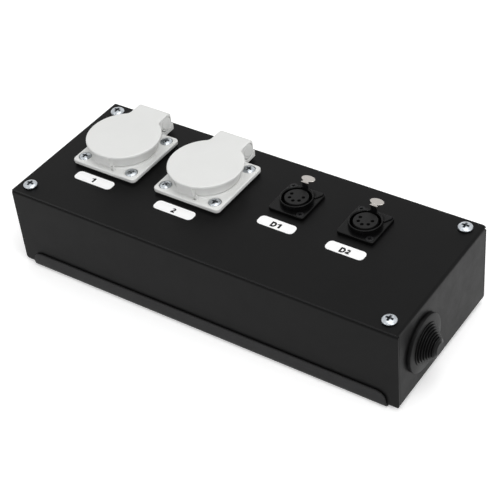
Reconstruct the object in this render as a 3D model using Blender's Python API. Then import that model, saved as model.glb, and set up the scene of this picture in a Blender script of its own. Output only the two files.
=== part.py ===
"""Stage outlet box: two lidded mains sockets and two five-way signal connectors on a sheet-metal box.

Frame: X along the box, Y from front to back, Z up, origin at the centre of the tray's underside.
All sizes are in metres.
"""
import math

import bmesh
import bpy
from mathutils import Matrix, Vector

# Clearances
GAP = 0.0003
SCREW_CLEARANCE = 0.0005
RUNNING = 0.0003

# Round shapes: sides of large, middle and small circles, and steps of a quarter bend
SIDES_LARGE = 32
SIDES_MIDDLE = 20
SIDES_SMALL = 12
SIDES_SCREW = 12
SIDES_PIN = 8
BEND_STEPS = 3
CRADLE_STEPS = 8
KNUCKLE_STEPS = 14
BARREL_STEPS = 12
BAY_STEPS = 10
LID_STEPS = 20
SMOOTH_ANGLE = 35
TOLERANCE = 1e-6

# Box
BOX_LENGTH = 0.286
BOX_DEPTH = 0.1092
BOX_HEIGHT = 0.062
SHEET = 0.0012
COVER_BEND = 0.0022
END_WALL_BOTTOM = 0.005
FLANGE_REACH = 0.0145
BASE_BEND = 0.002
WALL_CORNER = 0.004
END_TAB_HEIGHT = 0.0135

# Tray
TRAY_END_INSET = 0.0082
TRAY_BEND = 0.0042
LIP_HEIGHT = 0.0123
LIP_CORNER = 0.0065
TRAY_SCREW_INSET = 0.0348
TAB_INSET = 0.00012

# Pan heads: rim and recess depth as shares of the height, flat and recess as shares of the radius
HEAD_RIM = 0.45
HEAD_FLAT = 0.7
RECESS_DEPTH = 0.5
RECESS_ARM = 0.56
RECESS_THICK = 0.13

# Cover screws and their rivet nuts, placed from the ends and the front and back of the box
COVER_SCREW_END_INSET = 0.0100
COVER_SCREW_SIDE_INSET = 0.0082
COVER_HEAD_RADIUS = 0.0047
COVER_HEAD_HEIGHT = 0.0026
COVER_SHANK_RADIUS = 0.0023
COVER_SHANK_LENGTH = 0.013
NUT_RADIUS = 0.0045
NUT_HEIGHT = 0.0085
NUT_COLLAR_RADIUS = 0.0058
NUT_COLLAR_HEIGHT = 0.0009

# Mains sockets, placed along the box by shares of its length and from its back: heights are
# above the top plate, other places from the socket's centre
SOCKET_SHARES = (-0.34126, -0.11084)
SOCKET_FROM_BACK = 0.0440
SOCKET_FLANGE = 0.0508
SOCKET_CORNER = 0.003
FLANGE_THICKNESS = 0.003
GASKET_THICKNESS = 0.0009
GASKET_INSET = 0.0005
FLANGE_SCREW_PITCH = 0.0384
FLANGE_HEAD_RADIUS = 0.004
FLANGE_HEAD_HEIGHT = 0.0022
FLANGE_SHANK_RADIUS = 0.0018
FLANGE_SHANK_LENGTH = 0.012
FLANGE_POCKET_DEPTH = 0.0013
WELL_RADIUS = 0.0191
WELL_WALL = 0.0012
WELL_FLOOR = 0.0025
WELL_DEPTH = 0.0178
COLLAR_HEIGHT = 0.0015
COLLAR_RADIUS = 0.0218
COLLAR_FOOT_RADIUS = 0.0240
INSERT_SHOULDER = 0.0014
PANEL_HOLE_RADIUS = 0.0221
HOUSING_RADIUS = 0.0160
HOUSING_DEPTH = 0.0075
PIN_PITCH = 0.019
PIN_HOLE_RADIUS = 0.0027
SLEEVE_RADIUS = 0.0031
SLEEVE_WALL = 0.0006
SLEEVE_TAIL = 0.005
EARTH_SPREAD = 0.0184
EARTH_WIDTH = 0.0045
EARTH_SHEET = 0.0008
EARTH_DROP = 0.009
EARTH_TIP = 0.001

# Lid and its hinge: the hinge line is measured from the socket's centre and the top plate
LID_RADIUS = 0.025
LID_HEIGHT = 0.016
LID_PLATE = 0.0017
LID_EDGE = 0.0008
SKIRT_RADIUS = 0.0223
SKIRT_FOOT_RADIUS = 0.0213
SKIRT_WALL = 0.0014
TONGUE_WIDTH = 0.0244
TONGUE_DEPTH = 0.0068
TONGUE_FILLET = 0.004
HINGE_Y = 0.0302
HINGE_Z = 0.0108
BARREL_RADIUS = 0.0060
BARREL_SKIN = 0.0011
HOOD_BACK = 0.0056
HOOD_CORNER = 0.0032
HOOD_FRONT = 0.001
LID_TUCK = 0.00005
BAY_REACH = 0.0068
BAY_EDGE = 26.0
BAY_FRONT = 150.0
KNUCKLE_BACK = -95.0
KNUCKLE_FRONT = 210.0
KNUCKLE_WIDTH = 0.0096
KNUCKLE_RADIUS = 0.0036
SPRING_BAY = 0.0043
HINGE_PIN_RADIUS = 0.00125
BRACKET_WIDTH = 0.0252
BRACKET_BACK = 0.0362
BRACKET_BOTTOM = 0.0021
BRACKET_TOP = 0.0066
LUG_WIDTH = 0.012
LUG_FRONT = 0.0246
LUG_BOTTOM = 0.0073
SPRING_WIRE = 0.0006
SPRING_PITCH = 0.0011
SPRING_TURNS = 3
SPRING_POINTS = 10
SPRING_SIDES = 5

# Signal connectors, placed along the box by shares of its length and from its back: heights
# are above the top plate, other places from the connector's centre
CONNECTOR_SHARES = (0.10594, 0.27832)
CONNECTOR_FROM_BACK = 0.0353
CONNECTOR_WIDTH = 0.0256
CONNECTOR_DEPTH = 0.0278
CONNECTOR_CORNER = 0.002
CONNECTOR_PLATE = 0.0022
PLATEAU_FRONT = 0.0065
PLATEAU_CUT = 0.0092
PLATEAU_SIDE = 0.011
PLATEAU_RISE = 0.0009
RING_RADIUS = 0.0108
RING_HEIGHT = 0.0058
SHELL_RADIUS = 0.0116
SHELL_DEPTH = 0.016
SHELL_FLOOR = 0.0025
CAVITY_RADIUS = 0.0095
CAVITY_CHAMFER = 0.0006
CORE_RADIUS = 0.0078
CORE_HEIGHT = 0.0056
CONTACT_CIRCLE = 0.0044
CONTACT_FIRST_ANGLE = 75.0
CONTACT_COUNT = 5
CONTACT_HOLE_RADIUS = 0.0012
CONTACT_PIN_RADIUS = 0.0008
CONTACT_PIN_TOP = 0.002
CONTACT_TAIL = 0.004
CARRIER_RADIUS = 0.0088
CARRIER_THICKNESS = 0.0016
CONNECTOR_SCREW_X = 0.0091
CONNECTOR_SCREW_Y = 0.0108
CONNECTOR_HEAD_RADIUS = 0.0025
CONNECTOR_SHANK_RADIUS = 0.0014
CONNECTOR_SCREW_LENGTH = 0.009
SLOT_WIDTH = 0.0048
SLOT_BACK = 0.0109
SLOT_DEPTH = 0.012
TAB_CENTRE = 0.0143
TAB_HALF_WIDTH = 0.0047
TAB_HALF_DEPTH = 0.0029
TAB_HEIGHT = 0.0100
TAB_SHEET = 0.0008
LEG_FRONT = 0.0099
LEG_WIDTH = 0.0040
LEG_DROP = 0.0045
LATCH_DEPTH = 0.0012
LATCH_WIDTH = 0.003
TAB_WIRE = 0.0004
TAB_SPRING_RADIUS = 0.00085
TAB_SPRING_TURNS = 4
TAB_SPRING_POINTS = 8
TAB_SPRING_SIDES = 4

# Grommet on the right end wall, placed from the front of the box
GROMMET_FROM_FRONT = 0.0281
GROMMET_Z = 0.0337
GROMMET_FLANGE_RADIUS = 0.0188
GROMMET_FLANGE = 0.0025
GROMMET_EDGE = 0.0009
GROMMET_NECK_RADIUS = 0.0148
GROMMET_INNER_RADIUS = 0.0170
GROMMET_INNER_FLANGE = 0.0018
GROMMET_STEP_RADII = (0.0128, 0.0103, 0.0088, 0.0075, 0.0060)
GROMMET_STEP = 0.002
GROMMET_TIP_RADIUS = 0.0042
GROMMET_TIP = 0.0011
GROMMET_STEP_TAPER = 0.0003
GROMMET_WALL = 0.0015

# Labels, placed from the centres of their outlets
LABEL_1_SHIFT = (-0.0016, -0.0327)
LABEL_2_SHIFT = (-0.0026, -0.0333)
LABEL_D1_SHIFT = (0.0002, -0.0238)
LABEL_D2_SHIFT = (0.0005, -0.0247)
SOCKET_LABEL_LENGTH = 0.0298
CONNECTOR_LABEL_LENGTH = 0.0265
LABEL_WIDTH = 0.0082
LABEL_CORNER = 0.0030
LABEL_THICKNESS = 0.00025
LABEL_GAP = 0.00005

# Terminal block behind the tray screws' line, and earth stud, on the floor of the base
BLOCK_FROM_RIGHT = 0.0430
BLOCK_CLEARANCE = 0.004
BLOCK_LENGTH = 0.036
BLOCK_WIDTH = 0.020
BLOCK_HEIGHT = 0.015
BLOCK_WAYS = 3
BLOCK_HOLE_RADIUS = 0.0024
BLOCK_WIRE_HEIGHT = 0.006
BLOCK_SCREW_SPACING = 0.010
BLOCK_SCREW_DEPTH = 0.0045
STUD_FROM_LEFT = 0.0180
STUD_FROM_BACK = 0.0346
STUD_RADIUS = 0.0025
STUD_HEIGHT = 0.016
STUD_NUT_RADIUS = 0.0046
STUD_NUT_HEIGHT = 0.004

# Places that follow from the sizes above
COVER_INSIDE = BOX_HEIGHT - SHEET
BASE_TOP = COVER_INSIDE - GAP
BASE_BOTTOM = SHEET + GAP
BASE_FLOOR = BASE_BOTTOM + SHEET
HALF_LENGTH = BOX_LENGTH / 2
HALF_DEPTH = BOX_DEPTH / 2
WALL_INSIDE = HALF_DEPTH - SHEET
END_INSIDE = HALF_LENGTH - SHEET
COVER_SCREW_X = HALF_LENGTH - COVER_SCREW_END_INSET
COVER_SCREW_Y = HALF_DEPTH - COVER_SCREW_SIDE_INSET
SOCKET_X = [share * BOX_LENGTH for share in SOCKET_SHARES]
SOCKET_Y = HALF_DEPTH - SOCKET_FROM_BACK
CONNECTOR_X = [share * BOX_LENGTH for share in CONNECTOR_SHARES]
CONNECTOR_Y = HALF_DEPTH - CONNECTOR_FROM_BACK
GROMMET_Y = GROMMET_FROM_FRONT - HALF_DEPTH
TRAY_HALF_LENGTH = HALF_LENGTH - TRAY_END_INSET
TRAY_SCREW_X = TRAY_HALF_LENGTH - TRAY_SCREW_INSET
TRAY_HALF_DEPTH = HALF_DEPTH + GAP + SHEET
FOOT_BEND = TRAY_BEND - SHEET - GAP
GASKET_TOP = GAP + GASKET_THICKNESS
FLANGE_BOTTOM = GASKET_TOP + GAP
FLANGE_TOP = FLANGE_BOTTOM + FLANGE_THICKNESS
COLLAR_TOP = FLANGE_TOP + COLLAR_HEIGHT
WELL_RIM = COLLAR_TOP - GAP
WELL_BOTTOM = WELL_RIM - WELL_DEPTH
WELL_UNDERSIDE = WELL_BOTTOM - WELL_FLOOR
WELL_OUTSIDE = WELL_RADIUS + WELL_WALL
HOUSING_BOTTOM = WELL_UNDERSIDE - HOUSING_DEPTH
HOOD_SWEEP = math.hypot(HOOD_BACK - HOOD_CORNER, LID_HEIGHT - HINGE_Z - HOOD_CORNER) + HOOD_CORNER
LID_UNDERSIDE = LID_HEIGHT - LID_PLATE
POCKET_BOTTOM = FLANGE_TOP - FLANGE_POCKET_DEPTH
PLATE_BOTTOM = GAP
PLATE_TOP = PLATE_BOTTOM + CONNECTOR_PLATE
CAVITY_BOTTOM = SHELL_FLOOR - SHELL_DEPTH

# Which of the three coordinates an outline fills, and the one that it is drawn out along
OUTLINE_AXES = {"x": (1, 2, 0), "y": (0, 2, 1), "z": (0, 1, 2)}


def material(name, colour, roughness, metallic=0.0):
    """A plain finish: colour, roughness and metallic value."""
    made = bpy.data.materials.new(name)
    made.use_nodes = True
    shader = made.node_tree.nodes["Principled BSDF"]
    shader.inputs["Base Color"].default_value = (*colour, 1.0)
    shader.inputs["Roughness"].default_value = roughness
    shader.inputs["Metallic"].default_value = metallic
    return made


def arc(centre, radius, start, end, steps):
    """Points on a circle from one angle to another, in degrees."""
    angles = [math.radians(start + (end - start) * step / steps) for step in range(steps + 1)]
    return [(centre[0] + radius * math.cos(angle), centre[1] + radius * math.sin(angle)) for angle in angles]


def circle(centre, radius, sides):
    """A closed round outline."""
    return arc(centre, radius, 0, 360, sides)[:-1]


def rectangle(low, high):
    """A square-cornered outline from its lowest to its highest corner."""
    return [(low[0], low[1]), (high[0], low[1]), (high[0], high[1]), (low[0], high[1])]


def rounded_rectangle(centre, size, radius, steps=BEND_STEPS):
    """An outline with round corners, counter-clockwise."""
    half_x = size[0] / 2 - radius
    half_y = size[1] / 2 - radius
    points = []
    for turn, (side_x, side_y) in enumerate(((1, 1), (-1, 1), (-1, -1), (1, -1))):
        corner = (centre[0] + side_x * half_x, centre[1] + side_y * half_y)
        points += arc(corner, radius, 90 * turn, 90 * turn + 90, steps)
    return points


def extruded(outline, axis, start, end):
    """A straight solid with the given outline, drawn out along an axis."""
    first, second, along = OUTLINE_AXES[axis]
    solid = bmesh.new()
    ring = []
    for point in outline:
        place = [start] * 3
        place[first], place[second] = point
        ring.append(solid.verts.new(place))
    face = solid.faces.new(ring)
    grown = bmesh.ops.extrude_face_region(solid, geom=[face])["geom"]
    shift = [0.0] * 3
    shift[along] = end - start
    far_end = [item for item in grown if isinstance(item, bmesh.types.BMVert)]
    bmesh.ops.translate(solid, verts=far_end, vec=shift)
    bmesh.ops.recalc_face_normals(solid, faces=solid.faces)
    return solid


def box(low, high):
    """A rectangular block from its lowest to its highest corner."""
    return extruded(rectangle(low[:2], high[:2]), "z", low[2], high[2])


def turned(profile, sides, ring=False):
    """A round solid about Z; its profile of radius and height ends on the axis, or is a closed ring."""
    solid = bmesh.new()
    points = [solid.verts.new((radius, 0.0, height)) for radius, height in profile]
    edges = [solid.edges.new(pair) for pair in zip(points, points[1:])]
    if ring:
        edges.append(solid.edges.new((points[-1], points[0])))
    bmesh.ops.spin(solid, geom=points + edges, cent=(0, 0, 0), axis=(0, 0, 1), dvec=(0, 0, 0),
                   angle=math.tau, steps=sides, use_merge=True)
    bmesh.ops.remove_doubles(solid, verts=solid.verts, dist=TOLERANCE)
    bmesh.ops.dissolve_limit(solid, angle_limit=math.radians(0.1), verts=solid.verts, edges=solid.edges)
    bmesh.ops.recalc_face_normals(solid, faces=solid.faces)
    return solid


def moved(solid, shift):
    """The same solid, shifted."""
    bmesh.ops.translate(solid, verts=solid.verts, vec=shift)
    return solid


def turned_to_x(solid):
    """The same solid with its Z axis laid along +X."""
    bmesh.ops.rotate(solid, verts=solid.verts, cent=(0, 0, 0), matrix=Matrix.Rotation(math.pi / 2, 3, "Y"))
    return solid


def gathered(*solids):
    """Several separate solids in one mesh, to cut with at once."""
    group = bmesh.new()
    for solid in solids:
        mesh = bpy.data.meshes.new("gathered")
        solid.to_mesh(mesh)
        solid.free()
        group.from_mesh(mesh)
        bpy.data.meshes.remove(mesh)
    return group


def scratch_object(solid):
    """A short-lived object that carries one solid for a Boolean."""
    mesh = bpy.data.meshes.new("scratch")
    solid.to_mesh(mesh)
    solid.free()
    made = bpy.data.objects.new("scratch", mesh)
    bpy.context.scene.collection.objects.link(made)
    return made


def combined(solid, operation, *tools):
    """One solid joined with others, or cut by them, one after the other."""
    target = scratch_object(solid)
    helpers = [scratch_object(tool) for tool in tools]
    for helper in helpers:
        step = target.modifiers.new("combine", "BOOLEAN")
        step.operation = operation
        step.solver = "EXACT"
        step.object = helper
    result = bmesh.new()
    result.from_object(target, bpy.context.evaluated_depsgraph_get())
    for used in [target] + helpers:
        mesh = used.data
        bpy.data.objects.remove(used)
        bpy.data.meshes.remove(mesh)
    bmesh.ops.remove_doubles(result, verts=result.verts, dist=TOLERANCE / 10)
    return result


def joined(solid, *tools):
    """A union of solids that overlap."""
    return combined(solid, "UNION", *tools)


def cut(solid, *tools):
    """A solid with other solids taken out of it."""
    return combined(solid, "DIFFERENCE", *tools)


def bevelled(solid, width, chosen, segments=2):
    """The same solid with the chosen edges rounded."""
    edges = [edge for edge in solid.edges if chosen(edge)]
    bmesh.ops.bevel(solid, geom=edges, offset=width, segments=segments, profile=0.5, affect="EDGES",
                    material=-1)
    return solid


def lies_at(height):
    """A test for edges that lie level at one height."""
    return lambda edge: all(abs(vert.co.z - height) < TOLERANCE for vert in edge.verts)


def follows(edge, outline):
    """Whether an edge runs along a side outline of Y and Z, at the end of an extrusion along X."""
    first, second = edge.verts
    level = abs(first.co.x - second.co.x) < TOLERANCE
    return level and all(any(math.hypot(vert.co.y - y, vert.co.z - z) < TOLERANCE for y, z in outline)
                         for vert in edge.verts)


def mesh_of(name, solid, finish):
    """A finished mesh with its material, smooth where it is round."""
    mesh = bpy.data.meshes.new(name)
    solid.to_mesh(mesh)
    solid.free()
    mesh.materials.append(finish)
    mesh.shade_smooth()
    mesh.set_sharp_from_angle(angle=math.radians(SMOOTH_ANGLE))
    return mesh


def place(name, mesh, where=(0.0, 0.0, 0.0)):
    """An object with the given mesh, its origin at the given place."""
    made = bpy.data.objects.new(name, mesh)
    made.location = where
    bpy.context.scene.collection.objects.link(made)
    return made


def cross_recess(radius, top, depth):
    """A tapered cross to cut into a screw's head."""
    arm = radius * RECESS_ARM
    thick = radius * RECESS_THICK
    first = box((-arm, -thick, top - depth), (arm, thick, top + depth))
    second = box((-thick, -arm, top - depth), (thick, arm, top + depth))
    return joined(first, second)


def pan_screw(head_radius, head_height, shank_radius, shank_length, sides):
    """A pan-head screw: head on Z = 0, shank below it."""
    rim = head_height * HEAD_RIM
    profile = [(0.0, head_height), (head_radius * HEAD_FLAT, head_height), (head_radius, rim),
               (head_radius, 0.0), (shank_radius, 0.0), (shank_radius, -shank_length), (0.0, -shank_length)]
    return cut(turned(profile, sides), cross_recess(head_radius, head_height, head_height * RECESS_DEPTH))


def bent_sheet(path, thickness, bends):
    """The outline of a sheet along a path with its inside on the left, and the outer radius of each bend."""
    outer = []
    inner = []
    corners = [Vector(point) for point in path]
    for index, corner in enumerate(corners):
        before = (corner - corners[index - 1]).normalized() if index else None
        after = (corners[index + 1] - corner).normalized() if index + 1 < len(corners) else None
        if before is None or after is None:
            heading = after or before
            left = Vector((-heading.y, heading.x))
            outer.append(tuple(corner))
            inner.append(tuple(corner + left * thickness))
            continue
        left = Vector((-before.y, before.x))
        bend = bends[index - 1]
        centre = corner - before * bend + left * bend
        start = math.degrees(math.atan2(-left.y, -left.x))
        outer += arc(centre, bend, start, start + 90, BEND_STEPS)
        inner += arc(centre, bend - thickness, start, start + 90, BEND_STEPS)
    return outer + inner[::-1]


def corner_offcut(corner, side_x, radius, side_z=-1):
    """The outline between a square corner and its rounding, with room outside."""
    centre = (corner[0] - side_x * radius, corner[1] - side_z * radius)
    start = 0 if side_x > 0 else 180
    turn = 90 * side_x * side_z
    curve = arc(centre, radius, start, start + turn, BEND_STEPS)
    spare = radius
    beyond_x = corner[0] + side_x * spare
    beyond_z = corner[1] + side_z * spare
    return curve + [(centre[0], beyond_z), (beyond_x, beyond_z), (beyond_x, centre[1])]


def grid(xs, ys):
    """Every pair of the given places."""
    return [(x, y) for x in xs for y in ys]


def holes(places, radius, low, high, sides):
    """Round cutters along Z at the given places."""
    return [extruded(circle(centre, radius, sides), "z", low, high) for centre in places]


def make_cover(finish):
    """Top plate and both end walls, bent from one sheet."""
    path = [(HALF_LENGTH, END_WALL_BOTTOM), (HALF_LENGTH, BOX_HEIGHT),
            (-HALF_LENGTH, BOX_HEIGHT), (-HALF_LENGTH, END_WALL_BOTTOM)]
    sheet = extruded(bent_sheet(path, SHEET, [COVER_BEND] * 2), "y", -HALF_DEPTH, HALF_DEPTH)
    spare = SHEET * 2
    reliefs = []
    for side_x in (-1, 1):
        for side_y in (-1, 1):
            xs = sorted((side_x * (END_INSIDE - COVER_BEND), side_x * (HALF_LENGTH + spare)))
            ys = sorted((side_y * (WALL_INSIDE - GAP), side_y * (HALF_DEPTH + spare)))
            reliefs.append(box((xs[0], ys[0], END_WALL_BOTTOM - spare), (xs[1], ys[1], COVER_INSIDE)))
    low = COVER_INSIDE - spare
    high = BOX_HEIGHT + spare
    openings = holes([(x, SOCKET_Y) for x in SOCKET_X], PANEL_HOLE_RADIUS, low, high, SIDES_LARGE)
    openings += holes([(x, CONNECTOR_Y) for x in CONNECTOR_X], SHELL_RADIUS + GAP, low, high, SIDES_MIDDLE)
    openings += holes(grid((-COVER_SCREW_X, COVER_SCREW_X), (-COVER_SCREW_Y, COVER_SCREW_Y)),
                      COVER_SHANK_RADIUS + SCREW_CLEARANCE, low, high, SIDES_SMALL)
    for x in SOCKET_X:
        openings += holes([(x + dx, SOCKET_Y + dy) for dx, dy in flange_screw_places()],
                          FLANGE_SHANK_RADIUS + SCREW_CLEARANCE, low, high, SIDES_PIN)
    for x in CONNECTOR_X:
        openings += holes([(x + dx, CONNECTOR_Y + dy) for dx, dy in connector_screw_places()],
                          CONNECTOR_SHANK_RADIUS + SCREW_CLEARANCE, low, high, SIDES_PIN)
    openings.append(extruded(circle((GROMMET_Y, GROMMET_Z), GROMMET_NECK_RADIUS + GAP, SIDES_LARGE), "x",
                             END_INSIDE - spare, HALF_LENGTH + spare))
    place("top_cover", mesh_of("top_cover", cut(sheet, gathered(*reliefs), gathered(*openings)), finish))


def make_base(finish):
    """Front wall, bottom and back wall in one sheet, with top flanges and short end tabs turned in."""
    reach = HALF_DEPTH - FLANGE_REACH
    path = [(-reach, BASE_TOP), (-HALF_DEPTH, BASE_TOP), (-HALF_DEPTH, BASE_BOTTOM),
            (HALF_DEPTH, BASE_BOTTOM), (HALF_DEPTH, BASE_TOP), (reach, BASE_TOP)]
    bends = [BASE_BEND, FOOT_BEND, FOOT_BEND, BASE_BEND]
    sheet = extruded(bent_sheet(path, SHEET, bends), "x", -HALF_LENGTH, HALF_LENGTH)
    spare = SHEET * 2
    floor_end = HALF_LENGTH - WALL_CORNER
    flange_end = END_INSIDE - COVER_BEND + SHEET - GAP
    trims = []
    for side in (-1, 1):
        corner = corner_offcut((side * HALF_LENGTH, BASE_BOTTOM), side, WALL_CORNER)
        trims.append(extruded(corner, "y", -HALF_DEPTH - spare, HALF_DEPTH + spare))
        ends = sorted((side * flange_end, side * (HALF_LENGTH + spare)))
        trims.append(box((ends[0], -WALL_INSIDE, BASE_BOTTOM - spare),
                         (ends[1], WALL_INSIDE, BASE_TOP + spare)))
    walls = cut(sheet, *trims)
    tab_face = END_INSIDE - GAP
    tab_reach = WALL_INSIDE - FOOT_BEND
    root = floor_end - TRAY_BEND
    level = BASE_BOTTOM + TAB_INSET
    for side in (-1, 1):
        tab_path = [(root, level), (tab_face, level), (tab_face, END_TAB_HEIGHT)]
        outline = [(side * x, z) for x, z in bent_sheet(tab_path, SHEET - 2 * TAB_INSET, [BASE_BEND])]
        walls = joined(walls, extruded(outline, "y", -tab_reach, tab_reach))
    low = BASE_TOP - spare
    drilled = holes(grid((-COVER_SCREW_X, COVER_SCREW_X), (-COVER_SCREW_Y, COVER_SCREW_Y)),
                    COVER_SHANK_RADIUS + SCREW_CLEARANCE, low, BASE_TOP + spare, SIDES_SMALL)
    drilled += holes([(-TRAY_SCREW_X, 0.0), (TRAY_SCREW_X, 0.0)], FLANGE_SHANK_RADIUS + SCREW_CLEARANCE,
                     BASE_BOTTOM - spare, BASE_FLOOR + spare, SIDES_SMALL)
    place("base_channel", mesh_of("base_channel", cut(walls, gathered(*drilled)), finish))


def make_tray(finish):
    """Bottom plate with lips turned up outside the front and back walls."""
    path = [(-TRAY_HALF_DEPTH, LIP_HEIGHT), (-TRAY_HALF_DEPTH, 0.0),
            (TRAY_HALF_DEPTH, 0.0), (TRAY_HALF_DEPTH, LIP_HEIGHT)]
    half = TRAY_HALF_LENGTH
    sheet = extruded(bent_sheet(path, SHEET, [TRAY_BEND] * 2), "x", -half, half)
    spare = SHEET * 2
    corners = []
    for side in (-1, 1):
        offcut = corner_offcut((side * half, LIP_HEIGHT), side, LIP_CORNER, side_z=1)
        corners.append(extruded(offcut, "y", -TRAY_HALF_DEPTH - spare, TRAY_HALF_DEPTH + spare))
    drilled = holes([(-TRAY_SCREW_X, 0.0), (TRAY_SCREW_X, 0.0)], FLANGE_SHANK_RADIUS + SCREW_CLEARANCE,
                    -spare, SHEET + spare, SIDES_SMALL)
    tray = cut(sheet, gathered(*corners), gathered(*drilled))
    place("mounting_tray", mesh_of("mounting_tray", tray, finish))


def make_box_fasteners(zinc):
    """Cover screws with their rivet nuts, and the screws that hold the tray."""
    screw = mesh_of("cover_screw", pan_screw(COVER_HEAD_RADIUS, COVER_HEAD_HEIGHT, COVER_SHANK_RADIUS,
                                             COVER_SHANK_LENGTH, SIDES_SCREW), zinc)
    bore = COVER_SHANK_RADIUS + GAP
    nut_profile = [(bore, 0.0), (NUT_COLLAR_RADIUS, 0.0), (NUT_COLLAR_RADIUS, -NUT_COLLAR_HEIGHT),
                   (NUT_RADIUS, -NUT_COLLAR_HEIGHT), (NUT_RADIUS, -NUT_HEIGHT), (bore, -NUT_HEIGHT)]
    nut = mesh_of("rivet_nut", turned(nut_profile[::-1], SIDES_SMALL, ring=True), zinc)
    nut_top = BASE_TOP - SHEET - GAP
    corners = {"front_left": (-1, -1), "front_right": (1, -1), "back_left": (-1, 1), "back_right": (1, 1)}
    for corner, (side_x, side_y) in corners.items():
        x = side_x * COVER_SCREW_X
        y = side_y * COVER_SCREW_Y
        place("cover_screw_" + corner, screw, (x, y, BOX_HEIGHT + GAP))
        place("rivet_nut_" + corner, nut, (x, y, nut_top))
    head_seat = BASE_FLOOR + GAP
    tray_screw = mesh_of("tray_screw", pan_screw(FLANGE_HEAD_RADIUS, FLANGE_HEAD_HEIGHT, FLANGE_SHANK_RADIUS,
                                                 head_seat - GAP, SIDES_SMALL), zinc)
    for side, x in (("left", -TRAY_SCREW_X), ("right", TRAY_SCREW_X)):
        place("tray_screw_" + side, tray_screw, (x, 0.0, head_seat))


def flange_screw_places():
    """Flange screws of a mains socket, from its centre."""
    half = FLANGE_SCREW_PITCH / 2
    return grid((-half, half), (-half, half))


def connector_screw_places():
    """Screws of a signal connector, from its centre: back left and front right."""
    return [(-CONNECTOR_SCREW_X, CONNECTOR_SCREW_Y), (CONNECTOR_SCREW_X, -CONNECTOR_SCREW_Y)]


def frame_solid():
    """Square flange with the collar round the well and the hinge bracket behind it."""
    outline = rounded_rectangle((0, 0), (SOCKET_FLANGE, SOCKET_FLANGE), SOCKET_CORNER)
    plate = bevelled(extruded(outline, "z", FLANGE_BOTTOM, FLANGE_TOP), LID_EDGE, lies_at(FLANGE_TOP))
    root = FLANGE_TOP - FLANGE_THICKNESS / 2
    bore = WELL_OUTSIDE + GAP
    collar = turned([(bore - SHEET, root), (COLLAR_FOOT_RADIUS, root), (COLLAR_FOOT_RADIUS, FLANGE_TOP),
                     (COLLAR_RADIUS, COLLAR_TOP), (bore - SHEET, COLLAR_TOP)], SIDES_LARGE, ring=True)
    cradle = max(BARREL_RADIUS, HOOD_SWEEP) + GAP + RUNNING
    reach = math.degrees(math.asin((HINGE_Z - BRACKET_TOP) / cradle))
    bracket_outline = [(COLLAR_FOOT_RADIUS - GAP, BRACKET_BOTTOM), (BRACKET_BACK, BRACKET_BOTTOM),
                       (BRACKET_BACK, BRACKET_TOP)]
    bracket_outline += arc((HINGE_Y, HINGE_Z), cradle, -reach, reach - 180, CRADLE_STEPS)
    bracket_outline += [(COLLAR_FOOT_RADIUS + GAP, BRACKET_TOP), (COLLAR_FOOT_RADIUS - GAP, FLANGE_TOP)]
    half = BRACKET_WIDTH / 2
    bracket = extruded(bracket_outline, "x", -half, half)
    half_knuckle = KNUCKLE_WIDTH / 2
    eye = arc((HINGE_Y, HINGE_Z), KNUCKLE_RADIUS, KNUCKLE_BACK, KNUCKLE_FRONT, KNUCKLE_STEPS)
    stalk_bottom = BRACKET_BOTTOM + SHEET
    knuckle = extruded(eye + [(eye[-1][0], stalk_bottom), (eye[0][0], stalk_bottom)], "x",
                       -half_knuckle, half_knuckle)
    body = joined(plate, collar, bracket, knuckle)
    spare = FLANGE_THICKNESS
    cutters = holes([(0, 0)], bore, FLANGE_BOTTOM - spare, COLLAR_TOP + spare, SIDES_LARGE)
    cutters += holes(flange_screw_places(), FLANGE_SHANK_RADIUS + SCREW_CLEARANCE, FLANGE_BOTTOM - spare,
                     POCKET_BOTTOM + spare / 3, SIDES_PIN)
    cutters.append(turned_to_x(extruded(circle((0, 0), HINGE_PIN_RADIUS + RUNNING, SIDES_SMALL), "z",
                                        -BRACKET_WIDTH, BRACKET_WIDTH)))
    moved(cutters[-1], (0, HINGE_Y, HINGE_Z))
    pockets = holes(flange_screw_places(), FLANGE_HEAD_RADIUS + SCREW_CLEARANCE, POCKET_BOTTOM,
                    COLLAR_TOP + spare, SIDES_SCREW)
    return cut(body, gathered(*pockets), gathered(*cutters))


def gasket_solid():
    """Flat seal under a socket's flange."""
    side = SOCKET_FLANGE - 2 * GASKET_INSET
    outline = rounded_rectangle((0, 0), (side, side), SOCKET_CORNER)
    sheet = extruded(outline, "z", GAP, GASKET_TOP)
    cutters = holes([(0, 0)], PANEL_HOLE_RADIUS, -GASKET_TOP, 2 * GASKET_TOP, SIDES_LARGE)
    cutters += holes(flange_screw_places(), FLANGE_SHANK_RADIUS + SCREW_CLEARANCE, -GASKET_TOP,
                     2 * GASKET_TOP, SIDES_PIN)
    return cut(sheet, gathered(*cutters))


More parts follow.
